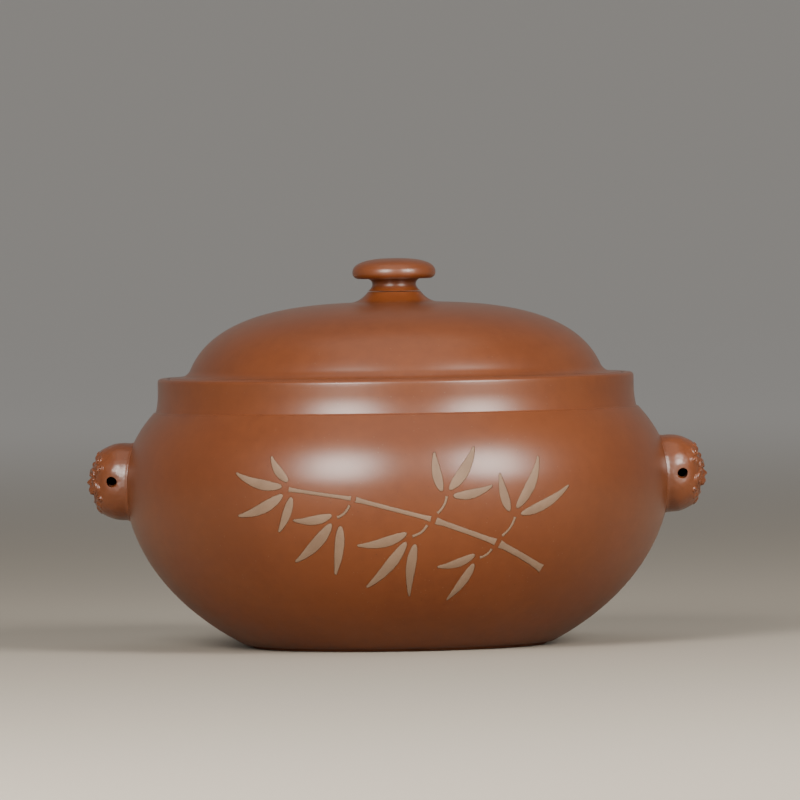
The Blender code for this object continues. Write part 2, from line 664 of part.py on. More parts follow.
def stroke(start, end, shares, halves, bow, margin):
    """Spine points and half widths of a bowed stroke, grown all round by `margin`."""
    direction = (end - start).normalized()
    normal = Vector((-direction.y, direction.x)) * bow * (end - start).length
    first = start - direction * margin
    last = end + direction * margin
    spine = [first.lerp(last, share) + normal * 4 * (share - share * share) for share in shares]
    return spine, [half + margin for half in halves]


def cane_stroke(start, end, width, bow, margin):
    """One length of cane or twig, a little wider at its ends."""
    halves = [width * SPRAY_UNIT / 2 * wider for wider in CANE_WIDENING]
    return stroke(spray_point(start), spray_point(end), CANE_SHARES, halves, bow, margin)


def leaf_stroke(stalk, heading, length, width, bow, margin):
    """One bamboo leaf, widest at a third of its length and drawn out to a narrow tip."""
    start = spray_point(stalk)
    angle = math.radians(heading)
    end = start + Vector((math.cos(angle), math.sin(angle))) * length * SPRAY_UNIT
    shares = [i / (LEAF_STATIONS - 1) for i in range(LEAF_STATIONS)]
    widening = (width * SPRAY_UNIT - LEAF_TIP_WIDTH) / 2
    bulges = [max(0.0, math.sin(math.pi * share**LEAF_DRAW)) for share in shares]
    halves = [LEAF_TIP_WIDTH / 2 + widening * bulge for bulge in bulges]
    return stroke(start, end, shares, halves, bow, margin)


def spray_strokes(margin):
    """Name, spine and half widths of every piece of the spray, grown all round by `margin`."""
    made = [(f"inlay_cane_{i}", *cane_stroke(*cane, margin)) for i, cane in enumerate(CANES, 1)]
    made += [(f"inlay_twig_{i}", *cane_stroke(*twig, margin)) for i, twig in enumerate(TWIGS, 1)]
    made += [(f"inlay_leaf_{i:02d}", *leaf_stroke(*leaf, margin)) for i, leaf in enumerate(LEAVES, 1)]
    return made


def bamboo_spray(parts, cutters, pale_clay):
    """The inlaid pieces, and one cutter for all their recesses, none of which meets another."""
    pockets = bmesh.new()
    for name, spine, halves in spray_strokes(JOINT_GAP):
        add_bar(pockets, spine, halves, -2 * JOINT_GAP, INLAY_THICKNESS + JOINT_GAP)
    for name, spine, halves in spray_strokes(0.0):
        bar = bmesh.new()
        add_bar(bar, spine, halves, 0.0, INLAY_THICKNESS)
        add_from_bmesh(name, bar, parts, pale_clay)
    return cutter_only(add_from_bmesh("inlay_pockets", pockets, cutters))


def belly_envelope_cutter(cutters):
    """The bowl's outer face with a joint's gap over it, closed flat at the shoulder and the foot."""
    face = bowl_outside(JOINT_GAP)
    profile = [(0.0, face[0][1]), *face, (0.0, face[-1][1])]
    return cutter_only(turned("belly_envelope", profile, TURNED_STEPS, cutters))


def build():
    clear_scene()
    parts = new_collection("clay_steam_pot")
    cutters = new_collection("cutters")
    brown_clay = clay_material(*BROWN_CLAY)
    unpolished_clay = clay_material(*UNPOLISHED_CLAY)
    pale_clay = clay_material(*PALE_CLAY)

    bowl = turned("pot_bowl", bowl_profile(), TURNED_STEPS, parts, brown_clay, ring=True)
    cut(bowl, bamboo_spray(parts, cutters, pale_clay))
    apply_modifiers(bowl)

    turned("steam_chimney", chimney_profile(), CHIMNEY_STEPS, parts, unpolished_clay, ring=True)
    lid = turned("lid", lid_profile(), TURNED_STEPS, parts, brown_clay)
    knob = turned("lid_knob", knob_profile(), KNOB_STEPS, parts, brown_clay)
    knob.parent = lid

    belly_envelope = belly_envelope_cutter(cutters)
    lion_head("lion_head_right", 0.0, -1, parts, cutters, belly_envelope, brown_clay)
    lion_head("lion_head_left", math.pi, 1, parts, cutters, belly_envelope, brown_clay)


build()
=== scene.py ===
"""Looks of a clay steam pot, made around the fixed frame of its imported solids: burnished brown clay, a pale
clay inlay polished flush, rough clay inside, and a plain stage. An add-on's layout, run as a script."""

import math

import bmesh
import bpy
import numpy as np
from bpy.props import FloatProperty, FloatVectorProperty, PointerProperty
from mathutils import Matrix, Vector, noise


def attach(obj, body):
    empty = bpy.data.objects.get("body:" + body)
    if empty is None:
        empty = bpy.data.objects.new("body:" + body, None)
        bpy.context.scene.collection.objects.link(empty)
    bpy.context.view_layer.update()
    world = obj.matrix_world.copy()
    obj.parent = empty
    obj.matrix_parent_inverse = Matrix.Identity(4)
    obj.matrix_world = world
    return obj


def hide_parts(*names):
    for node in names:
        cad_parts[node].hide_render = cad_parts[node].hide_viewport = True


bl_info = {
    "name": "Clay Steam Pot",
    "version": (1, 0, 0),
    "blender": (4, 5, 0),
    "location": "View3D > Sidebar > Steam Pot",
    "description": "Dresses the solids of a lidded clay steam pot and sets its stage",
    "category": "Add Mesh",
}

MM = 0.001
SMOOTH_ANGLE = math.radians(34)
RELIEF_ANGLE = math.radians(75)
INLAY_ANGLE = math.radians(50)
MERGE_GAP = 0.01 * MM
SLOPE_STEP = 0.05 * MM
LINE_SPACING = 1.5 * MM

# Points along the profiles
ROUND_POINTS = 8
FOOT_POINTS = 6
SWEEP_POINTS = 20
SHOULDER_POINTS = 30
BELLY_POINTS = 60
INSIDE_SHOULDER_POINTS = 50
INSIDE_BELLY_POINTS = 80
CHIMNEY_POINTS = 80
CHIMNEY_CROWDING = 1.2
TIP_POINTS = 15
BOSS_POINTS = 14
DOME_POINTS = 70
DOME_FOOT_POINTS = 12
CROWN_POINTS = 30
EDGE_POINTS = 10
NECK_POINTS = 12
BACKDROP_POINTS = 14

# Steps round the axis or a hole, cells and rings of a head's grid, and stations along the strokes
TURNED_STEPS = 240
CHIMNEY_STEPS = 120
KNOB_STEPS = 128
STAGE_STEPS = 96
VENT_SIDES = 48
HEAD_GRID = (150, 30)
HOLLOW_GRID = (24, 12)
CANE_STATIONS = 36
LEAF_STATIONS = 40

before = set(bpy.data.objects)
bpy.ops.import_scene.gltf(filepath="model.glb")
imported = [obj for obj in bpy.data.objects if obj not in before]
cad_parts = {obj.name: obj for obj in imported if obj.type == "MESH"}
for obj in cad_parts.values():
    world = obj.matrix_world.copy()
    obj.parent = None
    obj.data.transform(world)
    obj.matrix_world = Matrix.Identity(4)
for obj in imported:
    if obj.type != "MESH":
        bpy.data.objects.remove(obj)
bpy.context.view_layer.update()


def size(name, description, millimetres):
    return FloatProperty(
        name=name,
        description=description,
        default=millimetres * MM,
        min=0.0,
        unit="LENGTH",
        subtype="DISTANCE",
        precision=4,
    )


def ratio(name, description, value, lowest, highest):
    return FloatProperty(name=name, description=description, default=value, min=lowest, max=highest)


def tint(name, description, red, green, blue):
    return FloatVectorProperty(
        name=name,
        description=description,
        default=(red, green, blue),
        min=0.0,
        max=1.0,
        size=3,
        subtype="COLOR",
    )


class BowlSizes(bpy.types.PropertyGroup):
    """Sizes of the thrown bowl, from the table up."""

    base_radius: size("Base radius", "Radius of the foot on the table", 65.0)
    foot_round: size("Foot edge", "Rounding of the foot's outer edge", 1.5)
    ring_width: size("Foot ring", "Width of the ring that the pot stands on", 14.0)
    recess: size("Recess", "Depth of the hollow inside the foot ring", 3.0)
    floor: size("Floor", "Thickness of the floor", 5.0)
    belly_radius: size("Belly radius", "Radius at the widest place", 120.0)
    belly_height: size("Belly height", "Height of the widest place", 73.0)
    belly_fullness: ratio("Belly fullness", "Roundness below the widest place", 1.96, 1.2, 4.0)
    wall: size("Wall", "Thickness of the wall", 6.5)
    shoulder_rise: size("Shoulder rise", "Height of the shoulder over the widest place", 31.0)
    shoulder_step: size("Shoulder step", "How far the shoulder narrows to the collar", 13.4)
    shoulder_fullness: ratio("Shoulder fullness", "Roundness of the shoulder", 2.0, 1.2, 4.0)
    collar_fillet: size("Collar fillet", "Hollow curve where the collar grows from the shoulder", 1.0)
    collar_sweep: size("Collar sweep", "How far the collar spreads towards the shoulder", 0.9)
    collar_sweep_rise: size("Collar sweep rise", "Height over which it spreads", 8.0)
    collar_height: size("Collar height", "Height of the collar over the shoulder", 15.0)
    collar_wall: size("Collar wall", "Thickness of the collar", 4.4)
    rim_round: size("Rim rounding", "Rounding of the rim's two edges", 1.6)
    ledge_depth: size("Ledge depth", "How far under the rim the lid's ledge lies", 5.4)
    ledge_width: size("Ledge width", "Width of the ledge that the lid rests on", 10.3)
    mouth_edge: size("Mouth edge", "Thickness of the ledge at the mouth", 3.2)
    ripple: size("Throwing ripple", "Height of the finger ridges inside", 0.22)
    ripple_pitch: size("Ripple pitch", "Distance between the finger ridges", 6.5)


class ChimneySizes(bpy.types.PropertyGroup):
    """Sizes of the steam chimney that stands on the floor inside."""

    height: size("Height", "Height of the chimney", 91.0)
    inlet_radius: size("Inlet radius", "Radius of the steam inlet at the foot", 29.0)
    tip_bore: size("Tip bore radius", "Radius of the steam outlet", 6.5)
    wall: size("Wall", "Thickness of the wall", 5.0)
    foot_spread: size("Foot spread", "How far the foot spreads on the floor", 8.0)
    foot_rise: size("Foot rise", "Height of the spreading foot", 12.0)
    foot_edge: size("Foot edge", "Height of the foot's upright edge", 1.2)
    flare: ratio("Flare", "How fast the chimney narrows", 1.7, 1.0, 4.0)
    ripple: size("Throwing ripple", "Height of the finger ridges", 0.16)
    ripple_pitch: size("Ripple pitch", "Distance between the finger ridges", 4.6)


class LidSizes(bpy.types.PropertyGroup):
    """Sizes of the domed lid and its knob."""

    side_gap: size("Side gap", "Gap between the lid's flange and the collar", 0.8)
    lip_gap: size("Lip gap", "Gap between the lid's lip and the mouth", 1.2)
    seat_gap: size("Seat gap", "Gap under the flange", 0.3)
    flange: size("Flange", "Thickness of the flange", 5.4)
    flange_round: size("Flange edge", "Rounding of the flange's edge", 1.2)
    dome_inset: size("Dome inset", "How far inside the flange's edge the dome's curve would be widest", 5.9)
    dome_drop: size("Dome drop", "How far under the flange that widest place would lie", 14.9)
    dome_rise: size("Dome rise", "Height of the crown over that place", 52.3)
    dome_fullness: ratio("Dome fullness", "Roundness of the dome", 2.9, 1.2, 4.0)
    dome_foot: size("Dome foot", "Height of the hollow curve between dome and flange", 3.5)
    wall: size("Wall", "Thickness of the dome", 5.0)
    hollow_spring: size("Hollow spring", "Height over the ledge where the hollow side starts to curve", 3.1)
    hollow_fullness: ratio("Hollow fullness", "Roundness of the hollow side", 2.5, 1.2, 4.0)
    lip_depth: size("Lip depth", "Depth of the locating lip", 7.5)
    lip_wall: size("Lip wall", "Thickness of the lip", 5.0)
    lip_chamfer: size("Lip chamfer", "Slope at the lip's lower edge", 1.0)
    boss_height: size("Boss height", "Rise of the dome under the knob", 4.5)
    boss_spread: size("Boss spread", "Width over which the dome sweeps up to the knob", 9.0)
    boss_sweep: ratio("Boss sweep", "Hollowness of that sweep", 2.4, 1.0, 5.0)
    knob_radius: size("Knob radius", "Radius of the knob", 18.3)
    knob_crown: size("Knob crown", "Height of the knob over its widest place", 6.4)
    knob_undercut: size("Knob undercut", "Height of the rolled edge below it", 2.6)
    knob_edge: size("Knob edge", "How far the rolled edge turns in", 2.8)
    knob_fullness: ratio("Knob fullness", "Roundness of the crown", 2.5, 1.2, 4.0)
    neck_radius: size("Neck radius", "Radius of the knob's neck", 9.6)
    neck_height: size("Neck height", "Height of the neck", 5.4)
    neck_round: size("Neck rounding", "Hollow curve under the knob", 2.4)
    neck_flare: size("Neck flare", "How far the neck spreads at its foot", 2.0)
    neck_flare_rise: size("Neck flare rise", "Height of that spread", 3.0)


class LugSizes(bpy.types.PropertyGroup):
    """Sizes of the hollow lion-head lugs."""

    above_widest: size("Above the widest place", "Height of the heads' middle over the widest place", 1.0)
    reach: size("Reach", "How far a head stands out", 14.0)
    half_width: size("Half width", "Half of a head's width", 17.5)
    half_height: size("Half height", "Half of a head's height", 17.0)
    fullness: ratio("Fullness", "Roundness of a head", 2.25, 1.2, 4.0)
    wall: size("Wall", "Thickness of a head", 4.2)
    face_share: ratio("Face share", "Part of the half sizes that the face covers", 0.72, 0.1, 1.0)
    vent_radius: size("Vent radius", "Radius of the holes through the cheeks", 2.3)
    vent_offset: size("Vent offset", "Distance of the holes from the belly", 5.3)
    vent_slant: ratio("Vent slant", "Rise of the hole towards the back cheek for its length", 0.2, 0.0, 1.0)
    vent_dish: size("Vent dish radius", "Radius of the dished ring round a hole", 5.2)
    vent_dish_depth: size("Vent dish depth", "Depth of that ring", 0.55)
    slip_fillet: size("Slip fillet", "Bead of slip where a head meets the belly", 0.7)
    sunk: size("Sunk", "How far a head's edge sinks into the belly", 0.4)


class InlaySizes(bpy.types.PropertyGroup):
    """Sizes of the inlaid bamboo spray."""

    thickness: size("Thickness", "Depth that the pale clay is let in", 1.2)
    leaf_tip: size("Leaf tip", "Width of a leaf at its ends", 0.9)
    below_widest: size("Below the widest place", "Depth of the spray's middle under the widest place", 13.0)
    seam: size("Seam", "Fine gap between the two clays", 0.1)
    wander: ratio("Wander", "Unevenness of the hand-cut edges", 0.07, 0.0, 0.5)


class ClayColours(bpy.types.PropertyGroup):
    """Colours and finishes of the clays and the stage."""

    brown: tint("Brown clay", "Burnished brown clay", 0.146, 0.0378, 0.0082)
    brown_deep: tint("Deep brown", "Darker clouds in the brown clay", 0.102, 0.023, 0.0036)
    rough_brown: tint("Rough brown", "Unpolished clay inside and under the foot", 0.20, 0.066, 0.028)
    pale: tint("Pale clay", "Inlaid grey-tan clay", 0.205, 0.130, 0.082)
    pale_deep: tint("Deep pale", "Darker clouds in the pale clay", 0.162, 0.100, 0.062)
    floor: tint("Floor", "Pale floor", 0.35, 0.312, 0.258)
    wall: tint("Backdrop", "Lit backdrop behind the floor", 0.24, 0.24, 0.24)
    backdrop: ratio("Backdrop glow", "How strongly the lit backdrop shines behind the floor", 0.64, 0.0, 10.0)
    polish: ratio("Polish roughness", "Roughness of the burnished clay", 0.45, 0.0, 1.0)
    sheen: ratio("Burnish", "Share of the thin glossy skin that burnishing leaves", 1.0, 0.0, 1.0)
    sheen_roughness: ratio("Burnish roughness", "Roughness of that skin", 0.34, 0.0, 1.0)
    sheen_foot: ratio("Burnish at the foot", "Part of that skin that is left near the foot", 0.3, 0.0, 1.0)
    sheen_index: ratio("Burnish index", "Refractive index of that skin", 1.58, 1.0, 3.0)
    pale_roughness: ratio("Pale roughness", "Roughness of the inlaid clay", 0.6, 0.0, 1.0)
    matt: ratio("Matt roughness", "Roughness of the unpolished clay", 0.66, 0.0, 1.0)


class StudioSettings(bpy.types.PropertyGroup):
    """Camera and lights of the stage."""

    distance: size("Camera distance", "Distance from the camera to the pot", 5000.0)
    eye_height: size("Eye height", "Height of the camera", 215.0)
    aim_across: size("Aim across", "Point aimed at, to the right of the axis", 1.8)
    aim_height: size("Aim height", "Height of the point aimed at", 108.0)
    view_width: size("View width", "Width of the picture at the pot", 352.0)
    roll: FloatProperty(
        name="Roll",
        description="Tilt of the camera",
        default=math.radians(0.9),
        subtype="ANGLE",
    )
    key: ratio("Left softbox", "Watts of the softbox at the front left", 48.0, 0.0, 500.0)
    second: ratio("Right softbox", "Watts of the softbox at the front right", 47.0, 0.0, 500.0)
    box_width: size("Softbox width", "Width of both softboxes", 700.0)
    box_height: size("Softbox height", "Height of both softboxes", 900.0)
    overhead: ratio("Overhead", "Watts of the large soft light above", 9.0, 0.0, 500.0)
    lamp: tint("Lamp colour", "Slightly warm light of the softboxes", 1.0, 0.96, 0.91)
    sky: ratio("Sky", "Strength of the even light from all round", 0.18, 0.0, 10.0)


def settings(group):
    return getattr(bpy.context.scene, "steam_pot_" + group)


# Profiles of the turned pieces


def arc(centre, radius, start, end, points):
    """Points of a circle's arc, angles in degrees from +X towards +Z, both ends included."""
    angles = [math.radians(start + (end - start) * i / (points - 1)) for i in range(points)]
    return [(centre[0] + radius * math.cos(a), centre[1] + radius * math.sin(a)) for a in angles]


def line(first, last, spacing=LINE_SPACING):
    """Evenly spaced points between two places, without the last."""
    run = math.dist(first, last)
    count = max(1, round(run / spacing))
    return [tuple(a + (b - a) * i / count for a, b in zip(first, last)) for i in range(count)]


def full_rise(run, widest, reached, fullness):
    """Rise of the superellipse that narrows from radius `widest` to `reached` over the height `run`."""
    return run / (1.0 - (reached / widest) ** fullness) ** (1.0 / fullness)


def across_after(run, rise, widest, fullness):
    """How far such a superellipse still reaches across at the distance `run` along its other axis."""
    return widest * max(0.0, 1.0 - abs(run / rise) ** fullness) ** (1.0 / fullness)


def swell(base, widest, rise, fullness, first, last, points):
    """(radius, height) points of a superellipse that is widest at height `base`, between two heights."""

    def turn_at(height):
        share = max(-1.0, min(1.0, (height - base) / rise))
        return math.copysign(math.asin(abs(share) ** (fullness / 2.0)), share)

    made = []
    for i in range(points):
        turn = turn_at(first) + (turn_at(last) - turn_at(first)) * i / (points - 1)
        radius = widest * abs(math.cos(turn)) ** (2.0 / fullness)
        height = rise * math.copysign(abs(math.sin(turn)) ** (2.0 / fullness), turn)
        made.append((radius, base + height))
    return made


def rippled(points, height, pitch):
    """The same points with finger ridges that fade out towards both ends."""
    walked = [0.0]
    for first, last in zip(points, points[1:]):
        walked.append(walked[-1] + math.dist(first, last))
    made = []
    for i, (radius, level) in enumerate(points):
        before, after = points[max(i - 1, 0)], points[min(i + 1, len(points) - 1)]
        aside = Vector((after[1] - before[1], before[0] - after[0])).normalized()
        fade = min(1.0, walked[i] / (2 * pitch), (walked[-1] - walked[i]) / (2 * pitch))
        lift = height * fade * math.sin(math.tau * walked[i] / pitch)
        made.append((radius + aside.x * lift, level + aside.y * lift))
    return made


class BowlShape:
    """Heights, radii and curves of the bowl that follow from its sizes."""

    def __init__(self):
        s = self.sizes = settings("bowl")
        self.shoulder_radius = s.belly_radius - s.shoulder_step
        self.shoulder_height = s.belly_height + s.shoulder_rise
        self.collar_lean = math.atan(2 * s.collar_sweep / s.collar_sweep_rise)
        fillet_reach = s.collar_fillet * math.cos(self.collar_lean)
        self.collar_radius = self.shoulder_radius - fillet_reach - s.collar_sweep
        self.collar_inner = self.collar_radius - s.collar_wall
        self.rim_height = self.shoulder_height + s.collar_height
        self.ledge_height = self.rim_height - s.ledge_depth
        self.mouth_radius = self.collar_inner - s.ledge_width
        self.mouth_underside = self.ledge_height - s.mouth_edge
        self.floor_height = s.recess + s.floor
        shoulder = full_rise(s.shoulder_rise, s.belly_radius, self.shoulder_radius, s.shoulder_fullness)
        self.drop = full_rise(s.belly_height, s.belly_radius, s.base_radius, s.belly_fullness)
        self.shoulder_curve = (s.belly_height, s.belly_radius, shoulder, s.shoulder_fullness)
        self.belly_curve = (s.belly_height, s.belly_radius, self.drop, s.belly_fullness)

    def radius_at(self, height):
        """Radius of the outer face at a height between the foot and the shoulder."""
        above = height > self.sizes.belly_height
        base, widest, rise, fullness = self.shoulder_curve if above else self.belly_curve
        return across_after(height - base, rise, widest, fullness)

    def slope_at(self, height):
        """Change of the outer radius for each unit of height."""
        spread = self.radius_at(height + SLOPE_STEP) - self.radius_at(height - SLOPE_STEP)
        return spread / (2 * SLOPE_STEP)

    def outside(self, grow=0.0):
        """Outer face from the shoulder down to the foot's edge, moved outwards by `grow`."""
        s = self.sizes
        shoulder = swell(*self.shoulder_curve, self.shoulder_height, s.belly_height, SHOULDER_POINTS)
        belly = swell(*self.belly_curve, s.belly_height, s.foot_round, BELLY_POINTS)
        return [(radius + grow, height) for radius, height in shoulder + belly[1:]]

    def inside(self):
        """Inner face from the floor up to the underside of the mouth."""
        s = self.sizes
        widest = s.belly_radius - s.wall
        run = self.mouth_underside - s.belly_height
        rise = full_rise(run, widest, self.mouth_radius, s.shoulder_fullness)
        below = (s.belly_height, widest, self.drop - s.wall, s.belly_fullness)
        above = (s.belly_height, widest, rise, s.shoulder_fullness)
        lower = swell(*below, self.floor_height, s.belly_height, INSIDE_BELLY_POINTS)
        upper = swell(*above, s.belly_height, self.mouth_underside, INSIDE_SHOULDER_POINTS)
        return rippled(lower + upper[1:], s.ripple, s.ripple_pitch)

    def profile(self):
        """A closed ring: over the rim, down the outside, under the foot, up the inside to the ledge."""
        s = self.sizes
        inside = self.inside()
        rim_level = self.rim_height - s.rim_round
        rim = arc((self.collar_inner + s.rim_round, rim_level), s.rim_round, 180, 90, ROUND_POINTS)
        rim += arc((self.collar_radius - s.rim_round, rim_level), s.rim_round, 90, 0, ROUND_POINTS)
        fillet_height = self.shoulder_height + s.collar_fillet
        lean = math.degrees(self.collar_lean)
        fillet = arc((self.shoulder_radius, fillet_height), s.collar_fillet, 180 + lean, 270, ROUND_POINTS)
        sweep = []
        for share in (i / SWEEP_POINTS for i in range(SWEEP_POINTS)):
            height = fillet[0][1] + s.collar_sweep_rise * (1.0 - share)
            sweep.append((self.collar_radius + s.collar_sweep * share**2, height))
        collar = line(rim[-1], sweep[0])[1:] + sweep
        foot_centre = (s.base_radius - s.foot_round, s.foot_round)
        foot_outer = arc(foot_centre, s.foot_round, 0, -90, FOOT_POINTS)[1:]
        ring_inner = s.base_radius - s.ring_width
        inlet = settings("chimney").inlet_radius
        foot = line(foot_outer[-1], (ring_inner + s.recess, 0.0))[1:]
        foot += arc((ring_inner + s.recess, s.recess), s.recess, -90, -180, ROUND_POINTS)
        foot += line((ring_inner, s.recess), (inlet, s.recess))[1:]
        foot += line((inlet, s.recess), (inlet, self.floor_height))
        floor = line((inlet, self.floor_height), inside[0])
        ledge = line((self.mouth_radius, self.ledge_height), (self.collar_inner, self.ledge_height))
        ledge.append((self.collar_inner, self.ledge_height))
        return rim + collar + fillet + self.outside()[1:] + foot_outer + foot + floor + inside + ledge


def chimney_profile():
    """A closed ring: over the tip, down the outside, under the foot and up the flared bore."""
    s = settings("chimney")
    foot_height = BowlShape().floor_height + settings("lid").seat_gap

    def bore(rise):
        return s.tip_bore + (s.inlet_radius - s.tip_bore) * (1.0 - rise / s.height) ** s.flare

    def outside(rise):
        return bore(rise) + s.wall + s.foot_spread * max(0.0, 1.0 - rise / s.foot_rise) ** 2

    half_wall = s.wall / 2
    tip = arc((s.tip_bore + half_wall, foot_height + s.height - half_wall), half_wall, 180, 0, TIP_POINTS)
    shares = [i / CHIMNEY_POINTS for i in range(1, CHIMNEY_POINTS - 1)]
    rises = [s.height * share**CHIMNEY_CROWDING for share in shares]
    outer = [(outside(rise), foot_height + rise) for rise in reversed(rises) if rise > s.foot_edge]
    outer.append((outside(s.foot_edge), foot_height + s.foot_edge))
    foot = [(outside(s.foot_edge), foot_height), (s.inlet_radius, foot_height)]
    inner = [(bore(rise), foot_height + rise) for rise in rises]
    return tip + rippled(outer, s.ripple, s.ripple_pitch) + foot + rippled(inner, s.ripple, s.ripple_pitch)


def lid_seat():
    """Radius and height of the top of the boss that carries the knob."""
    s = settings("lid")
    height = BowlShape().ledge_height + s.seat_gap - s.dome_drop + s.dome_rise + s.boss_height
    return s.neck_radius + s.neck_flare, height


def lid_profile():
    """Open points with both ends on the axis: boss, dome, flange, lip and the dome's hollow side."""
    s = settings("lid")
    bowl = BowlShape()
    seat_radius, seat_height = lid_seat()
    flange_radius = bowl.collar_inner - s.side_gap
    flange_height = bowl.ledge_height + s.seat_gap
    flange_top = flange_height + s.flange
    dome_radius = flange_radius - s.dome_inset
    dome_centre = flange_height - s.dome_drop
    boss_foot = seat_radius + s.boss_spread
    boss_foot_height = dome_centre + across_after(boss_foot, dome_radius, s.dome_rise, s.dome_fullness)
    boss = line((0.0, seat_height), (seat_radius, seat_height))
    for share in (i / BOSS_POINTS for i in range(BOSS_POINTS)):
        drop = (seat_height - boss_foot_height) * (1.0 - share) ** s.boss_sweep
        boss.append((seat_radius + s.boss_spread * share, boss_foot_height + drop))
    dome_curve = (dome_centre, dome_radius, s.dome_rise, s.dome_fullness)
    dome = swell(*dome_curve, boss_foot_height, flange_top + s.dome_foot, DOME_POINTS)
    lean = math.atan2(dome[-1][0] - dome[-2][0], dome[-2][1] - dome[-1][1])
    foot_radius = s.dome_foot / (1.0 - math.sin(lean))
    foot_centre = (dome[-1][0] + foot_radius * math.cos(lean), flange_top + foot_radius)
    fillet = arc(foot_centre, foot_radius, 180 + math.degrees(lean), 270, DOME_FOOT_POINTS)[1:]
    edge_centre = (flange_radius - s.flange_round, flange_top - s.flange_round)
    edge = arc(edge_centre, s.flange_round, 90, 0, ROUND_POINTS)
    flat = line(fillet[-1], edge[0])[1:]
    lip_radius = bowl.mouth_radius - s.lip_gap
    lip_foot = flange_height - s.lip_depth
    lip_inner = lip_radius - s.lip_wall
    lip = [
        (flange_radius, flange_height),
        (lip_radius, flange_height),
        (lip_radius, lip_foot + s.lip_chamfer),
        (lip_radius - s.lip_chamfer, lip_foot),
        (lip_inner, lip_foot),
    ]
    apex = dome_centre + s.dome_rise - s.wall
    hollow_foot = flange_height + s.hollow_spring
    hollow_curve = (hollow_foot, lip_inner, apex - hollow_foot, s.hollow_fullness)
    hollow = swell(*hollow_curve, hollow_foot, apex, DOME_POINTS)[:-1]
    fingers = settings("bowl")
    hollow = rippled(hollow, fingers.ripple, fingers.ripple_pitch)
    return boss + dome + fillet + flat + edge + lip + hollow + [(0.0, apex)]


def knob_profile():
    """Open points with both ends on the axis: the crown, its rolled edge and the waisted neck."""
    s = settings("lid")
    seat = lid_seat()[1] + s.seat_gap
    underside = seat + s.neck_height
    widest = underside + s.knob_undercut
    top = widest + s.knob_crown
    crown_curve = (widest, s.knob_radius, s.knob_crown, s.knob_fullness)
    crown = swell(*crown_curve, top, widest, CROWN_POINTS)[1:]
    edge = []
    for i in range(1, EDGE_POINTS + 1):
        turn = math.radians(90 * i / EDGE_POINTS)
        inset = s.knob_edge * (1.0 - math.cos(turn))
        edge.append((s.knob_radius - inset, widest - s.knob_undercut * math.sin(turn)))
    neck_centre = (s.neck_radius + s.neck_round, underside - s.neck_round)
    neck = arc(neck_centre, s.neck_round, 90, 180, ROUND_POINTS)
    for i in range(NECK_POINTS + 1):
        share = 1.0 - i / NECK_POINTS
        neck.append((s.neck_radius + s.neck_flare * (1.0 - share) ** 2, seat + s.neck_flare_rise * share))
    return [(0.0, top)] + crown + edge + neck + [(0.0, seat)]


# Making and finishing pieces


def add_object(name, data):
    made = bpy.data.objects.new(name, data)
    bpy.context.scene.collection.objects.link(made)
    return made


def add_from_bmesh(name, shape):
    mesh = bpy.data.meshes.new(name)
    shape.to_mesh(mesh)
    shape.free()
    return add_object(name, mesh)


def apply_modifiers(made, angle=SMOOTH_ANGLE):
    """Keep the shape that the modifiers give, with soft shading across its shallow edges."""
    graph = bpy.context.evaluated_depsgraph_get()
    shaped = bpy.data.meshes.new_from_object(made.evaluated_get(graph))
    made.modifiers.clear()
    made.data = shaped
    shaped.shade_smooth()
    shaped.set_sharp_from_angle(angle=angle)


def turned(name, profile, steps, ring=False):
    """A solid turned about Z from (radius, height) points that run down its outer side."""
    outline = bpy.data.meshes.new(name)
    corners = [(radius, 0.0, height) for radius, height in profile]
    edges = [(i, i + 1) for i in range(len(corners) - 1)]
    if ring:
        edges.append((len(corners) - 1, 0))
    outline.from_pydata(corners, edges, [])
    spun = add_object(name, outline)
    screw = spun.modifiers.new("turn", "SCREW")
    screw.axis = "Z"
    screw.angle = math.tau
    screw.steps = screw.render_steps = steps
    screw.use_merge_vertices = True
    screw.merge_threshold = MERGE_GAP
    apply_modifiers(spun)
    return spun


def cut_away(target, *cutters, angle=SMOOTH_ANGLE):
    """Cut each cutter out of the target and delete it."""
    for cutter in cutters:
        boolean = target.modifiers.new("cut", "BOOLEAN")
        boolean.operation = "DIFFERENCE"
        boolean.solver = "EXACT"
        boolean.object = cutter
    apply_modifiers(target, angle)
    for cutter in cutters:
        bpy.data.objects.remove(cutter, do_unlink=True)


def clay_it(piece, outer, inner=None, is_outer=None):
    """Give a piece its clay, and a second one where `is_outer` says that a face isn't outside."""
    piece.data.materials.clear()
    piece.data.materials.append(outer)
    if inner:
        piece.data.materials.append(inner)
        for face in piece.data.polygons:
            radius = math.hypot(face.center.x, face.center.y)
            face.material_index = 0 if is_outer(radius, face.center.z) else 1


# Materials


def maths(operation, swapped=False):
    """An operator of Term that adds a Math node. The swapped one is its reflected form."""

    def add_node(term, other):
        first, second = (other, term) if swapped else (term, other)
        return term.recipe.node("ShaderNodeMath", {"operation": operation}, {0: first, 1: second})

    return add_node


class Term:
    """One output socket. Sums of terms and numbers add Math nodes."""

    def __init__(self, recipe, socket):
        self.recipe = recipe
        self.socket = socket

    __add__, __radd__ = maths("ADD"), maths("ADD", swapped=True)
    __sub__, __rsub__ = maths("SUBTRACT"), maths("SUBTRACT", swapped=True)
    __mul__, __rmul__ = maths("MULTIPLY"), maths("MULTIPLY", swapped=True)
    __lt__, __gt__ = maths("LESS_THAN"), maths("GREATER_THAN")


# Distances between the turning lines, and the refractive index of the fired clay
POLISH_LINES = 1.6 * MM
THROWING_LINES = 2.2 * MM
CLAY_INDEX = 1.52

# Sand in the brown clay: specks to the metre, and the draws from 0 to 1 that make one pale or dark
SAND_SPECKS = 520.0
PALE_SPECKS_FROM = 0.86
DARK_SPECKS_UP_TO = 0.12


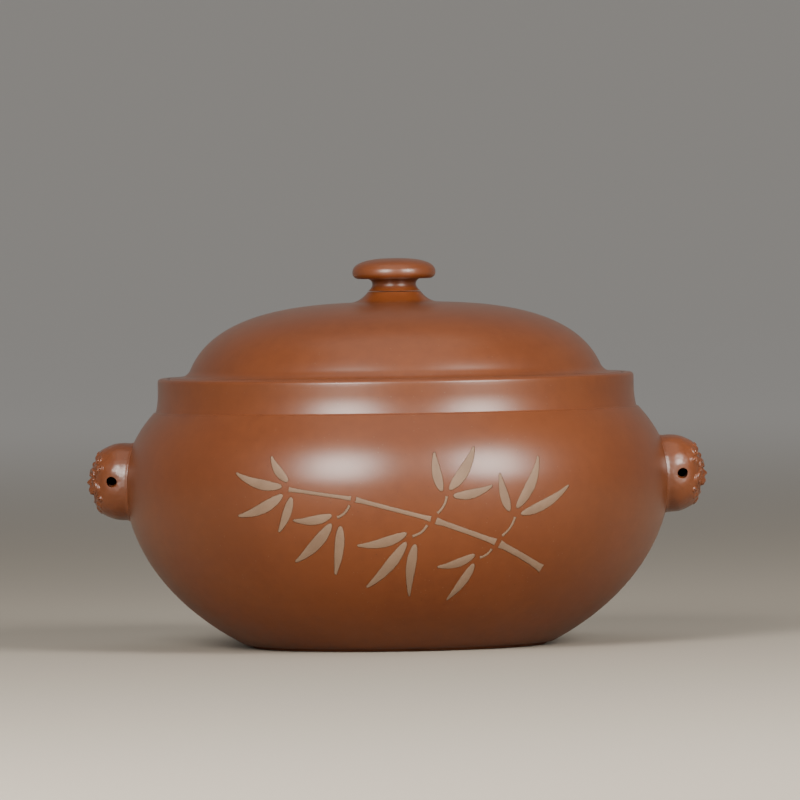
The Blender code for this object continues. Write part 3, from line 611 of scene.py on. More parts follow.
class Recipe:
    """The nodes of one material, in front of its Principled shader."""

    def __init__(self, name):
        self.material = bpy.data.materials.new(name)
        self.material.use_nodes = True
        self.tree = self.material.node_tree
        self.shader = self.tree.nodes["Principled BSDF"]
        self.place = self.node("ShaderNodeTexCoord", output="Object")

    def feed(self, socket, value):
        if isinstance(value, Term):
            self.tree.links.new(value.socket, socket)
        else:
            socket.default_value = value

    def node(self, kind, setup=None, inputs=None, output=0):
        """Add a node of a type, set it up, then give its sockets their values or links."""
        made = self.tree.nodes.new(kind)
        for key, value in (setup or {}).items():
            setattr(made, key, value)
        for key, value in (inputs or {}).items():
            self.feed(made.inputs[key], value)
        return Term(self, made.outputs[output])

    def noise(self, scale, detail, rough=0.5, place=None):
        """Cloudy noise from 0 to 1, `scale` clouds to the metre."""
        inputs = {"Vector": place or self.place, "Scale": scale, "Detail": detail, "Roughness": rough}
        return self.node("ShaderNodeTexNoise", {"normalize": True}, inputs)

    def ramp(self, value, low, high, start=0.0, end=1.0):
        """Value taken from low..high to start..end with soft ends."""
        inputs = {0: value, 1: low, 2: high, 3: start, 4: end}
        return self.node("ShaderNodeMapRange", {"interpolation_type": "SMOOTHSTEP"}, inputs)

    def mix(self, factor, first, second):
        """Colours mixed by a factor."""
        inputs = {0: factor, 6: self.colour(first), 7: self.colour(second)}
        return self.node("ShaderNodeMix", {"data_type": "RGBA"}, inputs, output=2)

    def colour(self, value):
        return value if isinstance(value, Term) else (*value, 1.0)

    def split(self, vector, axis):
        return self.node("ShaderNodeSeparateXYZ", inputs={0: vector}, output=axis)

    def join(self, x, y, z):
        return self.node("ShaderNodeCombineXYZ", inputs={0: x, 1: y, 2: z})

    def radius(self):
        """Distance from the turning axis."""
        level = {0: self.place, 1: (1.0, 1.0, 0.0)}
        flat = self.node("ShaderNodeVectorMath", {"operation": "MULTIPLY"}, level)
        return self.node("ShaderNodeVectorMath", {"operation": "LENGTH"}, {0: flat}, output="Value")

    def bump(self, height, distance, strength):
        inputs = {"Strength": strength, "Distance": distance, "Height": height}
        return self.node("ShaderNodeBump", inputs=inputs)

    def finish(self, colour, roughness, normal, coat=0.0, **uniform):
        """Link what varies over the surface, and set what doesn't on the shader itself."""
        self.feed(self.shader.inputs["Base Color"], colour)
        self.feed(self.shader.inputs["Coat Weight"], coat)
        self.feed(self.shader.inputs["Roughness"], roughness)
        self.feed(self.shader.inputs["Normal"], normal)
        for name, value in uniform.items():
            self.shader.inputs[name.replace("_", " ")].default_value = value
        return self.material


def turning_lines(recipe, spacing):
    """Rings about the axis, 0 to 1, about `spacing` apart and nearly the same all the way round."""
    height = recipe.split(recipe.place, "Z")
    across = recipe.split(recipe.place, "X")
    place = recipe.join(recipe.radius(), across * 0.03, height)
    return recipe.noise(scale=1.0 / spacing, detail=3.0, rough=0.6, place=place)


def burnished_clay(name, lines=1.0):
    """Brown clay polished with a stone: soft clouds, fine grain, sand specks and faint turning lines."""
    colours = settings("colours")
    recipe = Recipe(name)
    clouds = recipe.noise(scale=17.0, detail=3.0)
    mottle = recipe.noise(scale=210.0, detail=5.0, rough=0.6)
    grain = recipe.noise(scale=2100.0, detail=2.0)
    rings = turning_lines(recipe, POLISH_LINES)
    deep = recipe.ramp(clouds * 0.55 + mottle * 0.45, low=0.36, high=0.66)
    colour = recipe.mix(deep * 0.5 + grain * 0.16 + rings * (0.12 * lines), colours.brown, colours.brown_deep)
    sand = {"Vector": recipe.place, "Scale": SAND_SPECKS, "Randomness": 1.0}
    cell = recipe.node("ShaderNodeTexVoronoi", inputs=sand, output="Color")
    centre = recipe.node("ShaderNodeTexVoronoi", inputs=sand, output="Distance")
    chance = recipe.split(cell, "X")
    speck = recipe.ramp(centre, low=0.10, high=0.17, start=1.0, end=0.0)
    pale_speck = speck * (chance > PALE_SPECKS_FROM)
    dark_speck = speck * (chance < DARK_SPECKS_UP_TO)
    colour = recipe.mix(pale_speck * 0.35, colour, colours.pale)
    colour = recipe.mix(dark_speck * 0.5, colour, tuple(part * 0.45 for part in colours.brown_deep))
    roughness = colours.polish - 0.03 + mottle * 0.05 + rings * (0.05 * lines) + clouds * 0.03
    normal = recipe.bump(grain * 0.35 + rings * (0.55 * lines) + mottle * 0.5, 0.05 * MM, 0.35)
    height = recipe.split(recipe.place, "Z")
    at_foot = colours.sheen * colours.sheen_foot
    coat = recipe.ramp(height, low=10 * MM, high=80 * MM, start=at_foot, end=colours.sheen)
    skin = {"Coat_Roughness": colours.sheen_roughness, "Coat_IOR": colours.sheen_index}
    return recipe.finish(colour, roughness, normal, coat, IOR=CLAY_INDEX, Specular_IOR_Level=0.1, **skin)


def unpolished_clay(name):
    """Brown clay left as thrown: matt, grainy, with turning lines."""
    colours = settings("colours")
    recipe = Recipe(name)
    clouds = recipe.noise(scale=28.0, detail=4.0)
    grain = recipe.noise(scale=1500.0, detail=4.0, rough=0.7)
    rings = turning_lines(recipe, THROWING_LINES)
    dark = recipe.ramp(clouds * 0.5 + rings * 0.5, low=0.32, high=0.72)
    colour = recipe.mix(dark * 0.55 + grain * 0.25, colours.rough_brown, colours.brown_deep)
    roughness = colours.matt + grain * 0.1 + rings * 0.06
    normal = recipe.bump(grain * 0.6 + rings * 0.9, 0.16 * MM, 0.6)
    return recipe.finish(colour, roughness, normal, IOR=1.5)


def pale_clay(name):
    """Grey-tan clay polished flush with the wall: cloudy, with brown grains dragged over it."""
    colours = settings("colours")
    recipe = Recipe(name)
    clouds = recipe.noise(scale=90.0, detail=4.0, rough=0.6)
    grain = recipe.noise(scale=1700.0, detail=3.0, rough=0.6)
    rings = turning_lines(recipe, POLISH_LINES)
    deep = recipe.ramp(clouds, low=0.34, high=0.68)
    dragged = recipe.ramp(grain * 0.6 + rings * 0.4, low=0.56, high=0.70)
    colour = recipe.mix(deep * 0.7 + grain * 0.2, colours.pale, colours.pale_deep)
    colour = recipe.mix(dragged * 0.3, colour, colours.brown)
    roughness = colours.pale_roughness + grain * 0.07
    normal = recipe.bump(grain * 0.5 + rings * 0.4, 0.05 * MM, 0.35)
    return recipe.finish(colour, roughness, normal, IOR=CLAY_INDEX, Specular_IOR_Level=0.3)


def clay(kind):
    """One of the clays, made the first time it is asked for."""
    makers = {
        "burnished_brown_clay": burnished_clay,
        "pressed_brown_clay": lambda name: burnished_clay(name, lines=0.0),
        "thrown_brown_clay": unpolished_clay,
        "polished_pale_clay": pale_clay,
    }
    return bpy.data.materials.get(kind) or makers[kind](kind)


def stage_material():
    """Plain pale paint of the floor and the backdrop, a little uneven."""
    recipe = Recipe("stage_paint")
    colours = settings("colours")
    patches = recipe.noise(scale=2.0, detail=2.0)
    colour = recipe.mix(patches * 0.12, colours.floor, tuple(part * 0.9 for part in colours.floor))
    glow = recipe.ramp(recipe.radius(), low=0.4, high=4.5)
    recipe.feed(recipe.shader.inputs["Emission Color"], recipe.mix(glow, (0.0, 0.0, 0.0), colours.wall))
    recipe.shader.inputs["Emission Strength"].default_value = colours.backdrop
    grain = recipe.noise(scale=700.0, detail=3.0)
    return recipe.finish(colour, 0.85, recipe.bump(grain, 0.05 * MM, 0.2))


# Inlay

# Canes and twigs of the spray, in mm from its middle: start, end, width, and bow as a share of length
CANES = (
    ((73.0, -24.0), (47.2, -12.5), 2.8, 0.0),
    ((45.0, -11.6), (16.8, -1.7), 2.4, 0.0),
    ((14.5, -0.9), (-18.0, 8.0), 2.0, 0.0),
    ((-20.1, 8.5), (-48.0, 12.6), 1.7, 0.0),
)
TWIGS = (
    ((47.8, -8.9), (53.0, -0.9), 1.1, -0.10),
    ((17.4, 1.6), (21.4, 8.8), 1.1, -0.10),
    ((12.9, -3.5), (6.5, -8.2), 1.1, 0.12),
    ((-20.9, 5.6), (-26.5, 0.4), 1.1, 0.12),
    ((43.6, -14.6), (38.5, -18.2), 1.1, 0.12),
)

# Leaves, in mm: stalk, heading in degrees, length, width, and bow as a share of length
LEAVES = (
    ((55.7, 0.4), 26, 27, 4.4, -0.06),
    ((53.4, 3.0), 62, 25, 4.8, -0.05),
    ((50.2, 1.8), 106, 17, 4.0, 0.05),
    ((24.3, 9.0), 13, 18, 4.0, -0.07),
    ((22.6, 11.7), 56, 22, 4.8, -0.05),
    ((19.3, 11.1), 99, 17, 4.2, 0.05),
    ((3.9, -6.8), 193, 23, 4.2, 0.07),
    ((3.6, -10.7), 225, 28, 4.8, 0.06),
    ((7.8, -11.8), 264, 23, 4.6, -0.04),
    ((-29.0, 1.4), 187, 18, 4.0, 0.07),
    ((-29.4, -2.3), 220, 26, 4.8, 0.06),
    ((-25.4, -3.4), 256, 22, 4.4, 0.04),
    ((35.8, -16.9), 196, 18, 3.8, 0.07),
    ((36.0, -20.9), 236, 19, 4.4, 0.05),
    ((-48.4, 16.1), 130, 14, 3.8, 0.06),
    ((-51.2, 13.9), 166, 24, 4.4, 0.07),
    ((-51.0, 10.4), 202, 25, 4.6, 0.07),
    ((-46.9, 9.2), 243, 17, 4.0, 0.05),
)

# A cane's half width, as shares: its waist, a gentle taper, and the swelling over the last part of its length
CANE_WAIST = 0.9
CANE_TAPER = 0.1
CANE_SWELLING = 0.26
CANE_SWELLING_LENGTH = 0.14
CANE_SWELLING_POWER = 1.6

# A leaf's rounded ends as a share of its length, how blunt they start, and the pull on its widest place
LEAF_END = 0.02
LEAF_BLUNTNESS = 0.12
LEAF_DRAW = 0.72

# Spots of unevenness to the metre along a hand-cut edge, and the least half width of a bar
WANDER_SPOTS = 420.0
LEAST_HALF = 0.02 * MM


def stroke(start, end, shares, halves, bow, margin):
    """Spine points and half widths of a bowed stroke, grown all round by `margin`, edges a little uneven."""
    direction = (end - start).normalized()
    normal = Vector((-direction.y, direction.x)) * bow * (end - start).length
    first = start - direction * margin
    last = end + direction * margin
    spine = [first.lerp(last, share) + normal * 4 * (share - share * share) for share in shares]
    wander = settings("inlay").wander
    uneven = [1.0 + wander * noise.noise(Vector((p.x, p.y, 0.0)) * WANDER_SPOTS) for p in spine]
    return spine, [half * wobble + margin for half, wobble in zip(halves, uneven)]


def spray_point(point):
    """A point of the spray as (arc length, height) on the belly."""
    middle = settings("bowl").belly_height - settings("inlay").below_widest
    return Vector((point[0] * MM, middle + point[1] * MM))


def cane_stroke(start, end, width, bow, margin):
    """One length of cane or twig, a little wider at its ends."""
    shares = [i / CANE_STATIONS for i in range(CANE_STATIONS + 1)]
    halves = []
    for share in shares:
        ends = max(0.0, 1.0 - min(share, 1.0 - share) / CANE_SWELLING_LENGTH)
        taper = CANE_TAPER * abs(2 * share - 1) ** 2
        halves.append(width * MM / 2 * (CANE_WAIST + taper + CANE_SWELLING * ends**CANE_SWELLING_POWER))
    return stroke(spray_point(start), spray_point(end), shares, halves, bow, margin)


def leaf_stroke(stalk, heading, length, width, bow, margin):
    """One bamboo leaf, widest at a third of its length and drawn out to a narrow tip."""
    start = spray_point(stalk)
    angle = math.radians(heading)
    end = start + Vector((math.cos(angle), math.sin(angle))) * length * MM
    shares = [i / LEAF_STATIONS for i in range(LEAF_STATIONS + 1)]
    tip = settings("inlay").leaf_tip
    halves = []
    for share in shares:
        rounded = min(1.0, math.sqrt(min(share, 1.0 - share) / LEAF_END + LEAF_BLUNTNESS))
        blade = max(0.0, math.sin(math.pi * share**LEAF_DRAW))
        halves.append(tip / 2 * rounded + (width * MM - tip) / 2 * blade)
    return stroke(start, end, shares, halves, bow, margin)


def spray_strokes(margin):
    """CAD node, spine and half widths of every piece of the spray, grown all round by `margin`."""
    made = [(f"inlay_cane_{i}", *cane_stroke(*cane, margin)) for i, cane in enumerate(CANES, 1)]
    made += [(f"inlay_twig_{i}", *cane_stroke(*twig, margin)) for i, twig in enumerate(TWIGS, 1)]
    made += [(f"inlay_leaf_{i:02d}", *leaf_stroke(*leaf, margin)) for i, leaf in enumerate(LEAVES, 1)]
    return made


def on_belly(bowl, point, depth):
    """The place `depth` under the bowl's front for a point of (arc length from its middle, height)."""
    turn = point.x / bowl.sizes.belly_radius
    slope = bowl.slope_at(point.y)
    inward = depth / math.hypot(1.0, slope)
    radius = bowl.radius_at(point.y) - inward
    return Vector((radius * math.sin(turn), -radius * math.cos(turn), point.y + inward * slope))


def section(*corners):
    """A bar's (side, inset, depth) corners, from the (inset, depth) corners of one side going in."""
    left = [(-1, *corner) for corner in corners]
    right = [(1, *corner) for corner in reversed(corners)]
    return [right[-1], *left, *right[:-1]]


def add_bar(bar, bowl, spine, halves, outline):
    """Add to a bmesh a bar let into the belly along a spine, with the outline that `section` gives."""
    rows = []
    last = len(spine) - 1
    for i, (point, half) in enumerate(zip(spine, halves)):
        along = (spine[min(i + 1, last)] - spine[max(i - 1, 0)]).normalized()
        aside = Vector((-along.y, along.x))
        row = []
        for side, inset, depth in outline:
            place = point + aside * side * max(half - inset, LEAST_HALF)
            row.append(bar.verts.new(on_belly(bowl, place, depth)))
        rows.append(row)
    count = len(outline)
    for first, second in zip(rows, rows[1:]):
        for i in range(count):
            j = (i + 1) % count
            bar.faces.new((first[i], first[j], second[j], second[i]))
    bar.faces.new(rows[0][::-1])
    bar.faces.new(rows[-1])


# The lion's face, on a plane that runs from -1 to 1 over it both ways and is the same left and right

# Mounds and hollows: height in mm, middle across and up, half sizes across and up, turn in degrees
FACE_MOUNDS = {
    "forehead": (0.5, 0.00, 0.58, 0.44, 0.26, 0),
    "teardrop": (0.6, 0.00, 0.62, 0.07, 0.13, 0),
    "snout": (1.0, 0.00, -0.20, 0.52, 0.40, 0),
    "nose": (1.0, 0.00, -0.02, 0.23, 0.15, 0),
    "nose wing": (0.7, 0.17, -0.06, 0.12, 0.11, 0),
    "nostril": (-1.1, 0.10, -0.12, 0.065, 0.05, 20),
    "eye socket": (-0.6, 0.36, 0.16, 0.30, 0.24, 0),
    "pupil": (-0.5, 0.37, 0.15, 0.055, 0.055, 0),
    "cheek": (0.8, 0.58, -0.04, 0.22, 0.26, 10),
    "muzzle": (1.3, 0.21, -0.27, 0.29, 0.20, -14),
    "whisker pit": (-0.4, 0.19, -0.22, 0.035, 0.035, 0),
    "outer whisker pit": (-0.4, 0.29, -0.22, 0.035, 0.035, 0),
    "lower whisker pit": (-0.4, 0.24, -0.30, 0.035, 0.035, 0),
    "last whisker pit": (-0.4, 0.34, -0.29, 0.035, 0.035, 0),
    "chin": (0.8, 0.00, -0.73, 0.30, 0.15, 0),
    "front tooth": (1.3, 0.055, -0.464, 0.05, 0.075, 0),
    "side tooth": (1.3, 0.155, -0.453, 0.05, 0.07, 0),
    "fang": (1.3, 0.26, -0.463, 0.05, 0.16, 0),
    "back tooth": (1.3, 0.36, -0.402, 0.05, 0.06, 0),
}

# Raised and sunk lines: height in mm, half widths at the start, middle and end, and places on the way
FACE_LINES = {
    "bridge": (0.9, (0.08, 0.10, 0.15), (0, 0.42), (0, 0.22), (0, 0.02)),
    "brow": (1.5, (0.08, 0.15, 0.05), (0.09, 0.22), (0.20, 0.37), (0.40, 0.43), (0.60, 0.39), (0.70, 0.25)),
    "upper lid": (
        0.9, (0.04, 0.08, 0.04), (0.15, 0.11), (0.24, 0.23), (0.38, 0.27), (0.52, 0.21), (0.61, 0.10)
    ),
    "lower lid": (0.6, (0.03, 0.05, 0.03), (0.19, 0.08), (0.30, 0.01), (0.44, 0.00), (0.58, 0.09)),
    "philtrum": (-0.8, (0.04, 0.04, 0.04), (0, -0.15), (0, -0.26), (0, -0.38)),
    "mouth": (-1.9, (0.13, 0.12, 0.05), (0, -0.50), (0.18, -0.51), (0.36, -0.45), (0.50, -0.30)),
    "lower lip": (0.6, (0.09, 0.08, 0.04), (0, -0.65), (0.18, -0.65), (0.38, -0.58), (0.53, -0.43)),
    "laugh line": (0.5, (0.03, 0.06, 0.03), (0.34, -0.08), (0.50, -0.12), (0.60, -0.28), (0.60, -0.42)),
    "wrinkle": (-0.4, (0.04, 0.035, 0.02), (0.09, 0.56), (0.18, 0.60), (0.30, 0.60)),
    "upper wrinkle": (-0.4, (0.04, 0.035, 0.02), (0.09, 0.66), (0.18, 0.70), (0.28, 0.69)),
    "outer whiskers": (1.0, (0.05, 0.10, 0.03), (0.62, -0.52), (0.82, -0.38), (0.93, -0.20), (0.90, -0.04)),
    "inner whiskers": (0.9, (0.04, 0.09, 0.03), (0.66, -0.38), (0.76, -0.26), (0.80, -0.10), (0.76, 0.02)),
}
LINE_STEPS = 8
FRONT_SPAN = 60
BACK_LEAN = 0.6

EYEBALL = (1.2, 0.37, 0.15, 0.16)
EAR = (2.3, 0.78, 0.44, 0.20, 0.27, -40)
EAR_HOLLOW = (1.5, 0.76, 0.41, 0.10, 0.17, -40)

# Curls of the mane and the beard: direction in degrees, distance from the middle and radius
MANE_CURLS = ((90, 0.95, 0.21), (68, 0.97, 0.21), (47, 1.00, 0.20), (27, 1.04, 0.165))
BEARD_CURLS = ((-32, 1.02, 0.16), (-50, 0.99, 0.185), (-70, 0.97, 0.195), (-90, 0.96, 0.20))

# Height of a curl in mm, turns and depth of its groove, and how fast the groove sets in round the curl's eye
CURL_HEIGHT = 1.35
CURL_TURNS = 1.7
CURL_GROOVE = 0.6
CURL_EYE = 4.0

# Band of hair under the curls: height in mm, distance from the middle and half width
MANE_BAND = (0.9, 0.98, 0.36)

# Unevenness of the pressed clay: spots to the metre and height in mm
PRESSED_WAVES = ((260.0, 0.12), (700.0, 0.05))

# How deep a head goes into the belly as a share of its reach, and how much less its hollow as one of the wall
HEAD_SUNK = 0.5
HOLLOW_BACK = 0.125


def hill(distance):
    """A smooth hill, 1 high at its middle and gone where the distance is 1."""
    return np.clip(1.0 - distance * distance, 0.0, None) ** 2


def cap(distance):
    """A ball's cap, 1 high at its middle, with a crisp edge where the distance is 1."""
    return np.sqrt(np.clip(1.0 - distance * distance, 0.0, None))


def mound(across, up, mark):
    """Height of one mound or hollow of the face."""
    height, middle_across, middle_up, half_across, half_up, turn = mark
    dx, dy = across - middle_across, up - middle_up
    c, s = math.cos(math.radians(turn)), math.sin(math.radians(turn))
    return height * hill(np.hypot((c * dx + s * dy) / half_across, (c * dy - s * dx) / half_up))


def smooth_line(places):
    """A smooth curve that passes through the places."""
    ends = (places[0], *places, places[-1])
    made = []
    for four in zip(ends, ends[1:], ends[2:], ends[3:]):
        for i in range(LINE_STEPS):
            t = i / LINE_STEPS
            weights = (-t + 2 * t**2 - t**3, 2 - 5 * t**2 + 3 * t**3, t + 4 * t**2 - 3 * t**3, t**3 - t**2)
            made.append(tuple(sum(w * place[axis] for w, place in zip(weights, four)) / 2 for axis in (0, 1)))
    return made + [places[-1]]


def face_line(across, up, height, halves, *places):
    """Height of a raised or sunk line of the face."""
    walk = smooth_line(places)
    nearest = np.full_like(across, 2.0)
    for i, ((x0, y0), (x1, y1)) in enumerate(zip(walk, walk[1:])):
        dx, dy = x1 - x0, y1 - y0
        share = np.clip(((across - x0) * dx + (up - y0) * dy) / (dx * dx + dy * dy), 0.0, 1.0)
        half = np.interp((i + share) / (len(walk) - 1), (0.0, 0.5, 1.0), halves)
        nearest = np.minimum(nearest, np.hypot(across - x0 - share * dx, up - y0 - share * dy) / half)
    return height * hill(nearest)


def mane(across, up):
    """Height of the band of hair over the brow and under the chin."""
    height, away, half = MANE_BAND
    return height * hill((np.hypot(across, up) - away) / half) * np.clip(2.0 * np.abs(up) - 0.5, 0.0, 1.0)


def curl(across, up, degrees, away, radius, hand):
    """Height of one spiral curl like a snail."""
    angle = math.radians(degrees)
    dx, dy = across - away * math.cos(angle), up - away * math.sin(angle)
    gap = np.hypot(dx, dy) / radius
    turn = hand * np.arctan2(dy, dx) + angle
    groove = 0.5 - 0.5 * np.cos(math.tau * CURL_TURNS * gap - turn)
    return CURL_HEIGHT * cap(gap) * (1.0 - CURL_GROOVE * groove * np.clip(CURL_EYE * gap, 0.0, 1.0))


def lion_face(across, up):
    """Relief of the lion's face in mm."""
    side = np.abs(across)
    height = sum(mound(side, up, mark) for mark in FACE_MOUNDS.values())
    height += sum(face_line(side, up, *mark) for mark in FACE_LINES.values())
    ball, middle_across, middle_up, radius = EYEBALL
    height += ball * cap(np.hypot(side - middle_across, up - middle_up) / radius)
    height = np.maximum(height, mane(side, up))
    for mark in MANE_CURLS:
        height = np.maximum(height, curl(side, up, *mark, 1))
    for mark in BEARD_CURLS:
        height = np.maximum(height, curl(side, up, *mark, -1))
    return np.maximum(height, mound(side, up, EAR) - mound(side, up, EAR_HOLLOW))


def pressed_waves(place):
    """Unevenness of the pressed clay at a place, in mm."""
    return sum(noise.noise(place * spots) * high for spots, high in PRESSED_WAVES)


def head_ball(cells, rings):
    """Directions and faces of a ball, flat behind, with a fine square grid over its front at +X."""
    steps = [math.tan(math.radians(FRONT_SPAN) * (2 * i / cells - 1)) for i in range(cells + 1)]
    ways = [(1.0, y, z) for z in steps for y in steps]
    row = cells + 1
    faces = [
        (i + j * row, i + 1 + j * row, i + 1 + (j + 1) * row, i + (j + 1) * row)
        for j in range(cells)
        for i in range(cells)
    ]
    edge = list(range(cells)) + [cells + j * row for j in range(cells)]
    edge += [cells * row + i for i in range(cells, 0, -1)] + [j * row for j in range(cells, 0, -1)]
    rim = [ways[i] for i in edge]
    for ring in range(1, rings + 1):
        start = len(ways)
        ways += [(1.0 - (1.0 + BACK_LEAN) * ring / rings, y, z) for _, y, z in rim]
        made = list(range(start, start + len(rim)))
        faces += [(edge[i - 1], made[i - 1], made[i], edge[i]) for i in range(len(rim))]
        edge = made
    ways.append((-1.0, 0.0, 0.0))
    faces += [(edge[i - 1], len(ways) - 1, edge[i]) for i in range(len(rim))]
    ways = np.array(ways)
    return ways / np.linalg.norm(ways, axis=1)[:, None], faces, len(rim) + 1


def head_shape(cells, rings, inset, place, bowl, front=0):
    """A rounded head with its face at +X, then put in place. The face is left out when `front` is 0."""
    s = settings("lugs")
    ways, faces, behind = head_ball(cells, rings)
    sizes = np.array((s.reach, s.half_width, s.half_height))
    points = ways * (((np.abs(ways) / sizes) ** s.fullness).sum(axis=1) ** (-1.0 / s.fullness))[:, None]
    x, y, z = points.T
    height = np.full(len(points), -inset)
    if front:
        face = lion_face(y / (s.half_width * s.face_share), z / (s.half_height * s.face_share))
        height += np.where(x > 0.0, face * MM, 0.0)
        rise = z - s.vent_slant * (s.half_width - front * y)
        height -= s.vent_dish_depth * hill(np.hypot(x - s.vent_offset, rise) / s.vent_dish)
        height += [MM * pressed_waves(Vector(point)) for point in points]
        from_axis = np.hypot(bowl.sizes.belly_radius + x, y)
        belly = np.array([bowl.radius_at(level + bowl.sizes.belly_height + s.above_widest) for level in z])
        height += s.slip_fillet * np.exp(-np.clip(from_axis - belly, 0.0, None) / s.slip_fillet)
    points += ways * height[:, None]
    points[-behind:, 0] = inset * HOLLOW_BACK - s.reach * HEAD_SUNK
    mesh = bpy.data.meshes.new("head")
    mesh.from_pydata(points.tolist(), [], faces)
    head = bmesh.new()
    head.from_mesh(mesh)
    bpy.data.meshes.remove(mesh)
    bmesh.ops.recalc_face_normals(head, faces=head.faces[:])
    head.transform(place)
    return head


def vent_shape(place, front):
    """A round bar through both cheeks of a head. It rises from the cheek at `front` on Y to the other."""
    s = settings("lugs")
    bar = bmesh.new()
    turn = Matrix.Rotation(math.radians(90) - front * math.atan(s.vent_slant), 4, "X")
    bmesh.ops.create_cone(
        bar,
        cap_ends=True,
        segments=VENT_SIDES,
        radius1=s.vent_radius,
        radius2=s.vent_radius,
        depth=3 * s.half_width,
        matrix=place @ Matrix.Translation((s.vent_offset, 0.0, s.vent_slant * s.half_width)) @ turn,
    )
    return bar


# Operators, one for each piece or group of like pieces

# How far a recess's cutter stands proud, and the rounded edge of a fill with its middle's inset and depth
CUT_ABOVE = 0.6 * MM
BEVEL = 0.12 * MM
BEVEL_MIDDLE = (0.04 * MM, 0.03 * MM)

# Where the burnishing stops: over the table, inside the outer face, and over the flange's underside
BARE_FOOT = 0.6 * MM
SKIN = 1.0 * MM
BARE_FLANGE = 0.5 * MM

# Soft lights: azimuth from the camera's side and elevation in degrees, and distance from the point aimed at
LEFT_BOX = (-24, 23.5, 1.9)
RIGHT_BOX = (40, 23.5, 1.9)
OVERHEAD = (0, 82, 2.2)
OVERHEAD_WIDTH = 2.0
LAMP_AIM = Vector((0.0, 0.0, 0.08))
SKY_COLOUR = (0.96, 0.98, 1.0, 1.0)

# Stage in metres: radii of the floor's rings, radius of the backdrop's sweep, and its upper edge
FLOOR_RADII = (0.0, 0.5, 2.0, 5.0, 7.5)
BACKDROP_SWEEP = 2.5
BACKDROP_EDGE = (10.0, 7.0)

# Camera: width of its sensor in mm, and the nearest and farthest distance it sees in metres
SENSOR_WIDTH = 36.0
CLIPPING = (0.1, 100.0)


class STEAMPOT_OT_throw_bowl(bpy.types.Operator):
    """Throw the bowl, cut the inlay's recesses and burnish its outside"""

    bl_idname = "steam_pot.throw_bowl"
    bl_label = "Throw the bowl"

    def execute(self, context):
        bowl = BowlShape()
        piece = turned("bowl_burnished", bowl.profile(), TURNED_STEPS, ring=True)
        inlay = settings("inlay")
        recess = section((0.0, -CUT_ABOVE), (0.0, inlay.thickness + inlay.seam))
        pockets = bmesh.new()
        for _, spine, halves in spray_strokes(inlay.seam):
            add_bar(pockets, bowl, spine, halves, recess)
        cut_away(piece, add_from_bmesh("inlay_recesses", pockets))

        def is_outer(radius, height):
            if height > bowl.ledge_height:
                return True
            if height > bowl.shoulder_height:
                return radius > bowl.collar_inner
            return height > BARE_FOOT and radius > bowl.radius_at(height) - SKIN

        clay_it(piece, clay("burnished_brown_clay"), clay("thrown_brown_clay"), is_outer)
        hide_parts("pot_bowl")
        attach(piece, "pot")
        return {"FINISHED"}


class STEAMPOT_OT_throw_chimney(bpy.types.Operator):
    """Throw the steam chimney that stands over the hole in the floor"""

    bl_idname = "steam_pot.throw_chimney"
    bl_label = "Throw the chimney"

    def execute(self, context):
        piece = turned("chimney_thrown", chimney_profile(), CHIMNEY_STEPS, ring=True)
        clay_it(piece, clay("thrown_brown_clay"))
        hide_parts("steam_chimney")
        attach(piece, "pot")
        return {"FINISHED"}


class STEAMPOT_OT_throw_lid(bpy.types.Operator):
    """Throw the domed lid with its flange and lip"""

    bl_idname = "steam_pot.throw_lid"
    bl_label = "Throw the lid"

    def execute(self, context):
        piece = turned("lid_burnished", lid_profile(), TURNED_STEPS)
        s = settings("lid")
        bowl = BowlShape()
        flange_height = bowl.ledge_height + s.seat_gap
        middle_radius = bowl.mouth_radius - s.lip_gap - s.lip_wall / 2
        middle_rise = s.dome_rise - s.dome_drop - s.hollow_spring - s.wall / 2

        def is_outer(radius, height):
            if height < flange_height + BARE_FLANGE:
                return False
            rise = height - flange_height - s.hollow_spring
            middle = across_after(rise, middle_rise, middle_radius, s.hollow_fullness)
            return radius > middle or rise > middle_rise

        clay_it(piece, clay("burnished_brown_clay"), clay("thrown_brown_clay"), is_outer)
        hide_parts("lid")
        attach(piece, "lid")
        return {"FINISHED"}


class STEAMPOT_OT_turn_knob(bpy.types.Operator):
    """Turn the knob on top of the lid"""

    bl_idname = "steam_pot.turn_knob"
    bl_label = "Turn the knob"

    def execute(self, context):
        piece = turned("knob_burnished", knob_profile(), KNOB_STEPS)
        clay_it(piece, clay("burnished_brown_clay"))
        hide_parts("lid_knob")
        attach(piece, "lid")
        return {"FINISHED"}


class STEAMPOT_OT_press_heads(bpy.types.Operator):
    """Press the two hollow lion heads and lute them on the belly"""

    bl_idname = "steam_pot.press_heads"
    bl_label = "Press the lion heads"

    def execute(self, context):
        bowl = BowlShape()
        s = settings("lugs")
        for side, facing, front in (("right", 0.0, -1), ("left", math.pi, 1)):
            middle = (bowl.sizes.belly_radius, 0.0, bowl.sizes.belly_height + s.above_widest)
            place = Matrix.Rotation(facing, 4, "Z") @ Matrix.Translation(middle)
            head = head_shape(*HEAD_GRID, 0.0, place, bowl, front)
            piece = add_from_bmesh(f"lion_head_{side}_pressed", head)
            hollow = add_from_bmesh("hollow", head_shape(*HOLLOW_GRID, s.wall, place, bowl))
            vent = add_from_bmesh("vent", vent_shape(place, front))
            face = bowl.outside(-s.sunk)
            belly = turned("belly", [(0.0, face[0][1]), *face, (0.0, face[-1][1])], TURNED_STEPS)
            cut_away(piece, hollow, vent, belly, angle=RELIEF_ANGLE)
            clay_it(piece, clay("pressed_brown_clay"))
            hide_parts(f"lion_head_{side}")
            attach(piece, "pot")
        return {"FINISHED"}


